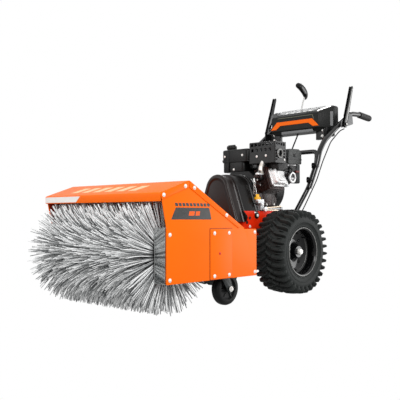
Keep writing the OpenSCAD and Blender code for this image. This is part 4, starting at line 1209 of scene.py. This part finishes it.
def chassis():
    """The chassis plates with their bosses and bolts, and the clamping knobs of the handles."""
    refine("chassis_frame", "red", 1.0)
    for side, tag in SIDES:
        x = side * 125
        mesh = lathe(
            [(0, 0.2), (0, 15), (side * 6, 15), (side * 8, 12), (side * 8, 0.2)], (x, -104, 376), "x", 28,
            closed=False)
        build(f"chassis_boss_{tag}", mesh, "engine")
        mesh = join(
            screws("x", side, True, (x + side * 8, -104, 376, 6.0), (x, -154, 323, 5.6)),
            *[
                screw((x, y, z), 4.6, "x", side)
                for y, z in ((-180, 160), (150, 140), (150, 280), (-120, 140))])
        build(f"chassis_bolts_{tag}", mesh, "bolt", smooth=35)
        mesh = join(*[
            lathe([(0, 3.6), (0, 7.5), (side * 2, 7.2), (side * 2, 3.6)], (x, y, z), "x", 22)
            for y, z in ((-154, 364), (-176, 343))])
        build(f"chassis_eyelets_{tag}", mesh, "dark_steel")
    studs = ((207, 253, 560), (222, 278, 634))
    for side, tag in SIDES:
        knobs = []
        for x, y, z in studs:
            # A three-lobed clamping knob on its stud
            outline = []
            for a in circle(36):
                r = 11.5 + 5.5 * max(0.0, math.cos(1.5 * a) ** 2)
                outline.append((side * x + r * math.cos(a), z + r * math.sin(a)))
            knobs.append(prism(outline, "y", y - 30, y - 17))
            knobs.append(tube([(side * x, y - 18, z), (side * x, y - 13, z)], 8, 14))
        build(f"clamp_knobs_{tag}", join(*knobs), "plastic", bevel=1.5, replaces="chassis_fasteners")
        mesh = join(
            *[tube([(side * x, y - 44, z), (side * x, y + 16, z)], 3.6, 12) for x, y, z in studs],
            *[screw((side * x, y + 13, z), 6, "y", 1) for x, y, z in studs])
        build(f"clamp_studs_{tag}", mesh, "dark_steel")


def casters():
    """The two caster forks and wheels, and the head's frame that carries them."""
    y, z = -506, 70
    # One half of the wheel's section, from the tread's middle out and in to the bore
    half = [(1.5, 70), (8, 69.6), (14, 67.5), (19.5, 62), (21, 58), (21, 46), (19, 44), (14, 42), (14, 16),
            (24, 14), (24, 6.2)]
    ring = [(-d, r) for d, r in half]
    tread = ring[5::-1] + [(0, 69.2)] + half + ring[:5:-1]
    for side, tag in SIDES:
        refine(f"caster_fork_{tag}", "fork_grey", 1.0)
        x = side * 275
        mesh = lathe(tread, (x, y, z), "x", 72)
        build(
            f"caster_tread_{tag}", mesh, "rubber", f"caster_wheel_{tag}", smooth=38,
            replaces=f"caster_wheel_{tag}")
        mesh = join(*[
            tube(
                [
                    (x + d * 14.5, y + 15 * math.cos(a), z + 15 * math.sin(a)),
                    (x + d * 15.5, y + 43 * math.cos(a), z + 43 * math.sin(a))],
                3, 8)
            for a in circle(6) for d in (-1, 1)])
        build(f"caster_spokes_{tag}", mesh, "plastic", f"caster_wheel_{tag}", smooth=45)
        mesh = join(
            screw((x + 35, y, z), 9, "x", 1), screw((x - 35, y, z), 9, "x", -1),
            tube([(x - 44, y, z), (x + 44, y, z)], 5, 12))
        build(f"caster_axle_{tag}", mesh, "bolt", f"caster_fork_{tag}", smooth=35)
    # The head's frame in orange darkened by painted shade
    refine("head_frame", "orange_inside", 0.8)


tank_and_guard()
engine_block()
intake_side()
oil_side()
starter_side()
cover_of_belts()
chassis()
casters()


# ---------------------------------------------------------------- console and handles

# The console seen from above as [x, y]
CONSOLE_PLAN = [(-207, 520), (-207, 484), (-207, 468), (-156, 396), (156, 396), (207, 468), (207, 484),
                (207, 520)]


# The console's top: its height at the front edge, its slope, and where the slope starts and ends
TOP_Z, TOP_SLOPE, TOP_FRONT, TOP_BACK = 941, 0.47, 396, 484


def console_top(y):
    """Height of the console's sloping top."""
    return TOP_Z + TOP_SLOPE * (min(y, TOP_BACK) - TOP_FRONT)


def shrunk(plan, d):
    """A convex outline moved inwards by d."""
    out = []
    n = len(plan)
    for i in range(n):
        a, p, b = Vector(plan[i - 1]), Vector(plan[i]), Vector(plan[(i + 1) % n])
        t0, t1 = (p - a).normalized(), (b - p).normalized()
        n0, n1 = Vector((-t0.y, t0.x)), Vector((-t1.y, t1.x))
        mid = (n0 + n1).normalized()
        out.append(tuple(p + mid * (d / max(0.3, mid.dot(n0)))))
    return out


def console_pieces():
    """The console with its panels, label, trim lines and brackets."""
    verts = []
    n = len(CONSOLE_PLAN)
    for base, inset in ((838, 17), (851, 4), (858, 0), (-12, 0), (-4, 3), (0, 13)):
        for x, y in shrunk(CONSOLE_PLAN, inset):
            verts.append((x, y, base if base > 0 else console_top(y) + base))
    top = len(verts) - n
    faces = band(len(verts) // n, n)
    # The top is split where its slope ends
    faces += [tuple(range(n - 1, -1, -1)), tuple(range(top + 1, top + n - 1)),
              (top, top + 1, top + n - 2, top + n - 1)]
    build("console_shell", (verts, faces), "console", smooth=20, bevel=2.0, segs=3, replaces="console")
    # Raised panels on the sloping top, and a pale label beside them
    def on_top(x, y, up):
        return (x, y, console_top(y) + up)
    def patch(corners, low, high):
        return slab([on_top(x, y, low) for x, y in corners], [on_top(x, y, high) for x, y in corners])
    pads = []
    for a, b, c, d, up in ((-132, 408, 128, 462, 3.5), (-150, 488, 150, 512, 3.0)):
        pads.append(slab([on_top(x, y, -2) for x, y in ((a, b), (c, b), (c, d), (a, d))],
                         [on_top(x, y, up) for x, y in ((a + 3, b + 3), (c - 3, b + 3), (c - 3, d - 3),
                                                        (a + 3, d - 3))]))
    build("console_panels", join(*pads), "grey_black", smooth=25, bevel=1.0)
    mesh = patch([(146, 404), (196, 462), (176, 482), (134, 420)], 0.8, 1.6)
    build("console_label", mesh, "decal_white", smooth=35)
    # Thin olive outline over the orange arch, and pale dashes where a name would be
    mesh = prism(
        [(-112, 927), (118, 927), (128, 905), (132, 905), (121, 931), (-114, 931)], "y", 394.2, 395.9)
    build("console_outline", mesh, "decal_olive", smooth=35)
    mesh = join(*[
        patch([(x, 416), (x + 26, 416), (x + 32, 430), (x + 6, 430)], 3.7, 4.1) for x in range(-84, 77, 40)])
    build("console_dashes", mesh, "light_grey", smooth=35)
    # Grey lower lip and end bands
    build("console_lip", soft_box((-92, 399, 836), (118, 412, 853), 4, top=3, bottom=3), "grey")
    for side, tag in SIDES:
        a, b = Vector((side * 156, 396)), Vector((side * 207, 468))
        t = (b - a).normalized()
        out = Vector((t.y, -t.x)) * side
        corners = [b - t * 18 + out * 0.2, b - t * 2 + out * 0.2]
        v = [(c.x, c.y, z) for z in (866, 945) for c in corners]
        v += [(c.x + out.x * 1.6, c.y + out.y * 1.6, z) for z in (866, 945) for c in corners]
        f = [(0, 1, 3, 2), (4, 5, 7, 6), (0, 1, 5, 4), (2, 3, 7, 6), (0, 2, 6, 4), (1, 3, 7, 5)]
        build(f"console_band_{tag}", (v, f), "grey", smooth=35)
        # Bracket under the console's end, clamped to the bar
        (a, b), (c, d) = sorted((side * 120, side * 178)), sorted((side * 176, side * 232))
        mesh = join(
            soft_box((a, 428, 792), (b, 452, 862), 4, top=2, bottom=2),
            soft_box((c, 436, 806), (d, 444, 852), 3, top=2, bottom=2))
        build(f"console_bracket_{tag}", mesh, "powder")
        mesh = screws("y", -1, True, (side * 162, 428, 811, 6), (side * 162, 428, 842, 5))
        build(f"bracket_bolts_{tag}", mesh, "bolt", smooth=35)


def hand_levers():
    """Pressed channel levers, with their brackets on the bar."""
    foot, head = Vector((494, 871)), Vector((566, 1089))
    length = (head - foot).length
    t = (head - foot).normalized()
    nrm = Vector((t.y, -t.x))
    # Distance along a lever and half of its width there
    stations = [(-14, 12), (6, 15), (60, 13.5), (150, 11), (length - 8, 9.5), (length, 6)]
    front = [tuple(foot + t * s + nrm * w) for s, w in stations]
    back = [tuple(foot + t * s - nrm * w) for s, w in reversed(stations)]
    outline = rounded_outline(front + back, 5, 3)
    web = front + [tuple(Vector(p) - nrm * 3) for p in reversed(front)]
    # A thin raised strip in pale grey along each lever: a painted highlight line on the gloss black channel
    highlight_ridge = [tuple(foot + t * s + nrm * w)
             for s, w in ((20, 4), (length - 14, 3), (length - 14, -1), (20, -2))]
    bracket = rounded_outline([(478, 852), (560, 872), (604, 884), (596, 934), (548, 944), (528, 905),
                               (484, 892)], 9, 4)
    for side, node in ((1, "traction_lever"), (-1, "brush_lever")):
        mesh = join(
            across(outline, side, 254, 256.6), across(outline, side, 267.4, 270), across(web, side, 254, 270))
        build(f"{node}_channel", mesh, "gloss_black", node, smooth=35, bevel=0.8, replaces=node)
        build(f"{node}_ridge", across(rounded_outline(highlight_ridge, 1.4, 3), side, 270, 271.6), "light_grey", node)
        mesh = join(across(bracket, side, 246, 251), tube([(side * 244, *foot), (side * 276, *foot)], 5, 16))
        build(f"{node}_bracket", mesh, "grey", bevel=1.0)
        build(f"{node}_pivot_bolt", screw((side * 272, *foot), 6.5, "x", side), "bolt", node, smooth=35)


def speed_lever():
    """The shift lever's rod and its curved paddle."""
    mesh = tube(spline([(4, 440, 900), (6, 446, 930), (6, 470, 1010), (4, 492, 1050)], 6), 4.2, 12)
    build("speed_lever_rod", mesh, "light_grey", "shift_lever", smooth=50, replaces="shift_lever")
    path = [(498, 1044), (503, 1052), (503, 1064), (494, 1080), (474, 1096), (448, 1108), (428, 1110),
            (416, 1106)]
    radii = [7, 11, 16, 19, 20, 19, 16, 9]
    fine = spline([(0, y, z) for y, z in path], 4)
    steps = len(fine)
    rr = []
    for i in range(steps):
        u = i / (steps - 1) * (len(radii) - 1)
        k = min(int(u), len(radii) - 2)
        rr.append(radii[k] + (radii[k + 1] - radii[k]) * (u - k))
    v, f = tube(fine, rr, 24)
    build("speed_paddle", ([(x * 0.8 + 4, y, z) for x, y, z in v], f), "plastic", "shift_lever", smooth=60)
    v, f = soft_box((14, -26, -7), (21, 26, 7), 6, top=3, bottom=2, axis="x")
    c, d = math.cos(math.radians(-38)), math.sin(math.radians(-38))
    v = [(x, 468 + y * c - z * d, 1088 + y * d + z * c) for x, y, z in v]
    build("paddle_inset", (v, f), "grey", "shift_lever", smooth=45)


def grip(side, tag):
    """A ribbed rubber grip over the bar's end."""
    a, b = Vector((235, 700, 949.2)), Vector((235, 820.5, 941))
    verts = []
    steps, sides = 64, 28
    for i in range(steps + 1):
        t = i / steps
        p = a + (b - a) * t
        r = 17.0 + (1.2 if 6 < i < 58 and i % 4 < 2 else 0)
        if i == 0:
            r = 18.5
        if i > steps - 3:
            r -= (i - steps + 3) * 2.2
        verts += [(side * (p.x + r * math.cos(c)), p.y, p.z + r * math.sin(c)) for c in circle(sides)]
    faces = band(steps + 1, sides)
    faces += [tuple(range(sides)), tuple(range(steps * sides, (steps + 1) * sides))[::-1]]
    build(f"ribbed_grip_{tag}", (verts, faces), "grip", smooth=50, replaces="handle_grips")


console_pieces()
hand_levers()
speed_lever()
for side, tag in SIDES:
    grip(side, tag)
refine("lower_handle", "gloss_black", 0.0)
refine("handlebars", "gloss_black", 0.0)
refine("handle_brackets", "powder", 1.0)

# ---------------------------------------------------------------- set

cam_data = bpy.data.cameras.new("camera")
cam_data.lens, cam_data.sensor_width = 55.2, 36.0
cam = bpy.data.objects.new("camera", cam_data)
bpy.context.scene.collection.objects.link(cam)
# The camera's place in metres, and the direction from the machine back to it in degrees
cam.location = (1.9892, -2.3186, 0.3783)
az, el = math.radians(43.7), math.radians(-1.4)
back = Vector((math.sin(az) * math.cos(el), -math.cos(az) * math.cos(el), math.sin(el)))
cam.rotation_mode = "QUATERNION"
cam.rotation_quaternion = (-back).to_track_quat("-Z", "Y")
bpy.context.scene.camera = cam


def area(name, size, energy, at, look):
    d = bpy.data.lights.new(name, "AREA")
    d.shape = "DISK"
    d.size = size
    d.energy = energy
    o = bpy.data.objects.new(name, d)
    bpy.context.scene.collection.objects.link(o)
    o.location = at
    o.rotation_mode = "QUATERNION"
    o.rotation_quaternion = (Vector(look) - Vector(at)).to_track_quat("-Z", "Y")


area("key", 1.8, 88, (3.6, -2.2, 2.3), (0, 0, 0.35))
area("side_light", 2.4, 56, (2.5, 3.7, 0.5), (0.3, 0.1, 0.3))
area("fill", 2.6, 34, (-2.6, -4.2, 1.6), (0, -0.4, 0.4))
area("rim_light", 1.6, 40, (-1.8, 3.4, 2.8), (0, 0, 0.6))


def studio_world():
    """A plain white backdrop, with softer light from the sides and below than from above."""
    w = bpy.data.worlds.new("studio")
    w.use_nodes = True
    nt = w.node_tree
    backdrop = nt.nodes["Background"]
    backdrop.inputs["Color"].default_value = (1, 1, 1, 1)
    backdrop.inputs["Strength"].default_value = 1.0
    link = linker(nt)
    tc = shader_node(nt, "TexCoord")
    sep = shader_node(nt, "SeparateXYZ")
    link(tc, "Generated", sep, "Vector")
    up = shader_node(nt, "MapRange", From_Min=-1.0)
    link(sep, "Z", up, "Value")
    ramp = shader_node(nt, "ValToRGB")
    # Height from straight down (0) to straight up (1), and the light's grey level there
    levels = ((0.0, 0.34), (0.46, 0.42), (0.56, 0.62), (0.72, 0.85), (1.0, 1.0))
    colour_stops(ramp, [(at, (grey, grey, grey, 1)) for at, grey in levels])
    link(up, "Result", ramp, "Fac")
    glow = shader_node(nt, "Background", Strength=1.15)
    link(ramp, "Color", glow, "Color")
    path = shader_node(nt, "LightPath")
    mix = shader_node(nt, "MixShader")
    link(path, "Is Camera Ray", mix, "Fac")
    link(glow, "Background", mix, 1)
    link(backdrop, "Background", mix, 2)
    link(mix, "Shader", nt.nodes["World Output"], "Surface")
    return w


bpy.context.scene.world = studio_world()
bpy.context.scene.view_settings.view_transform = "Standard"
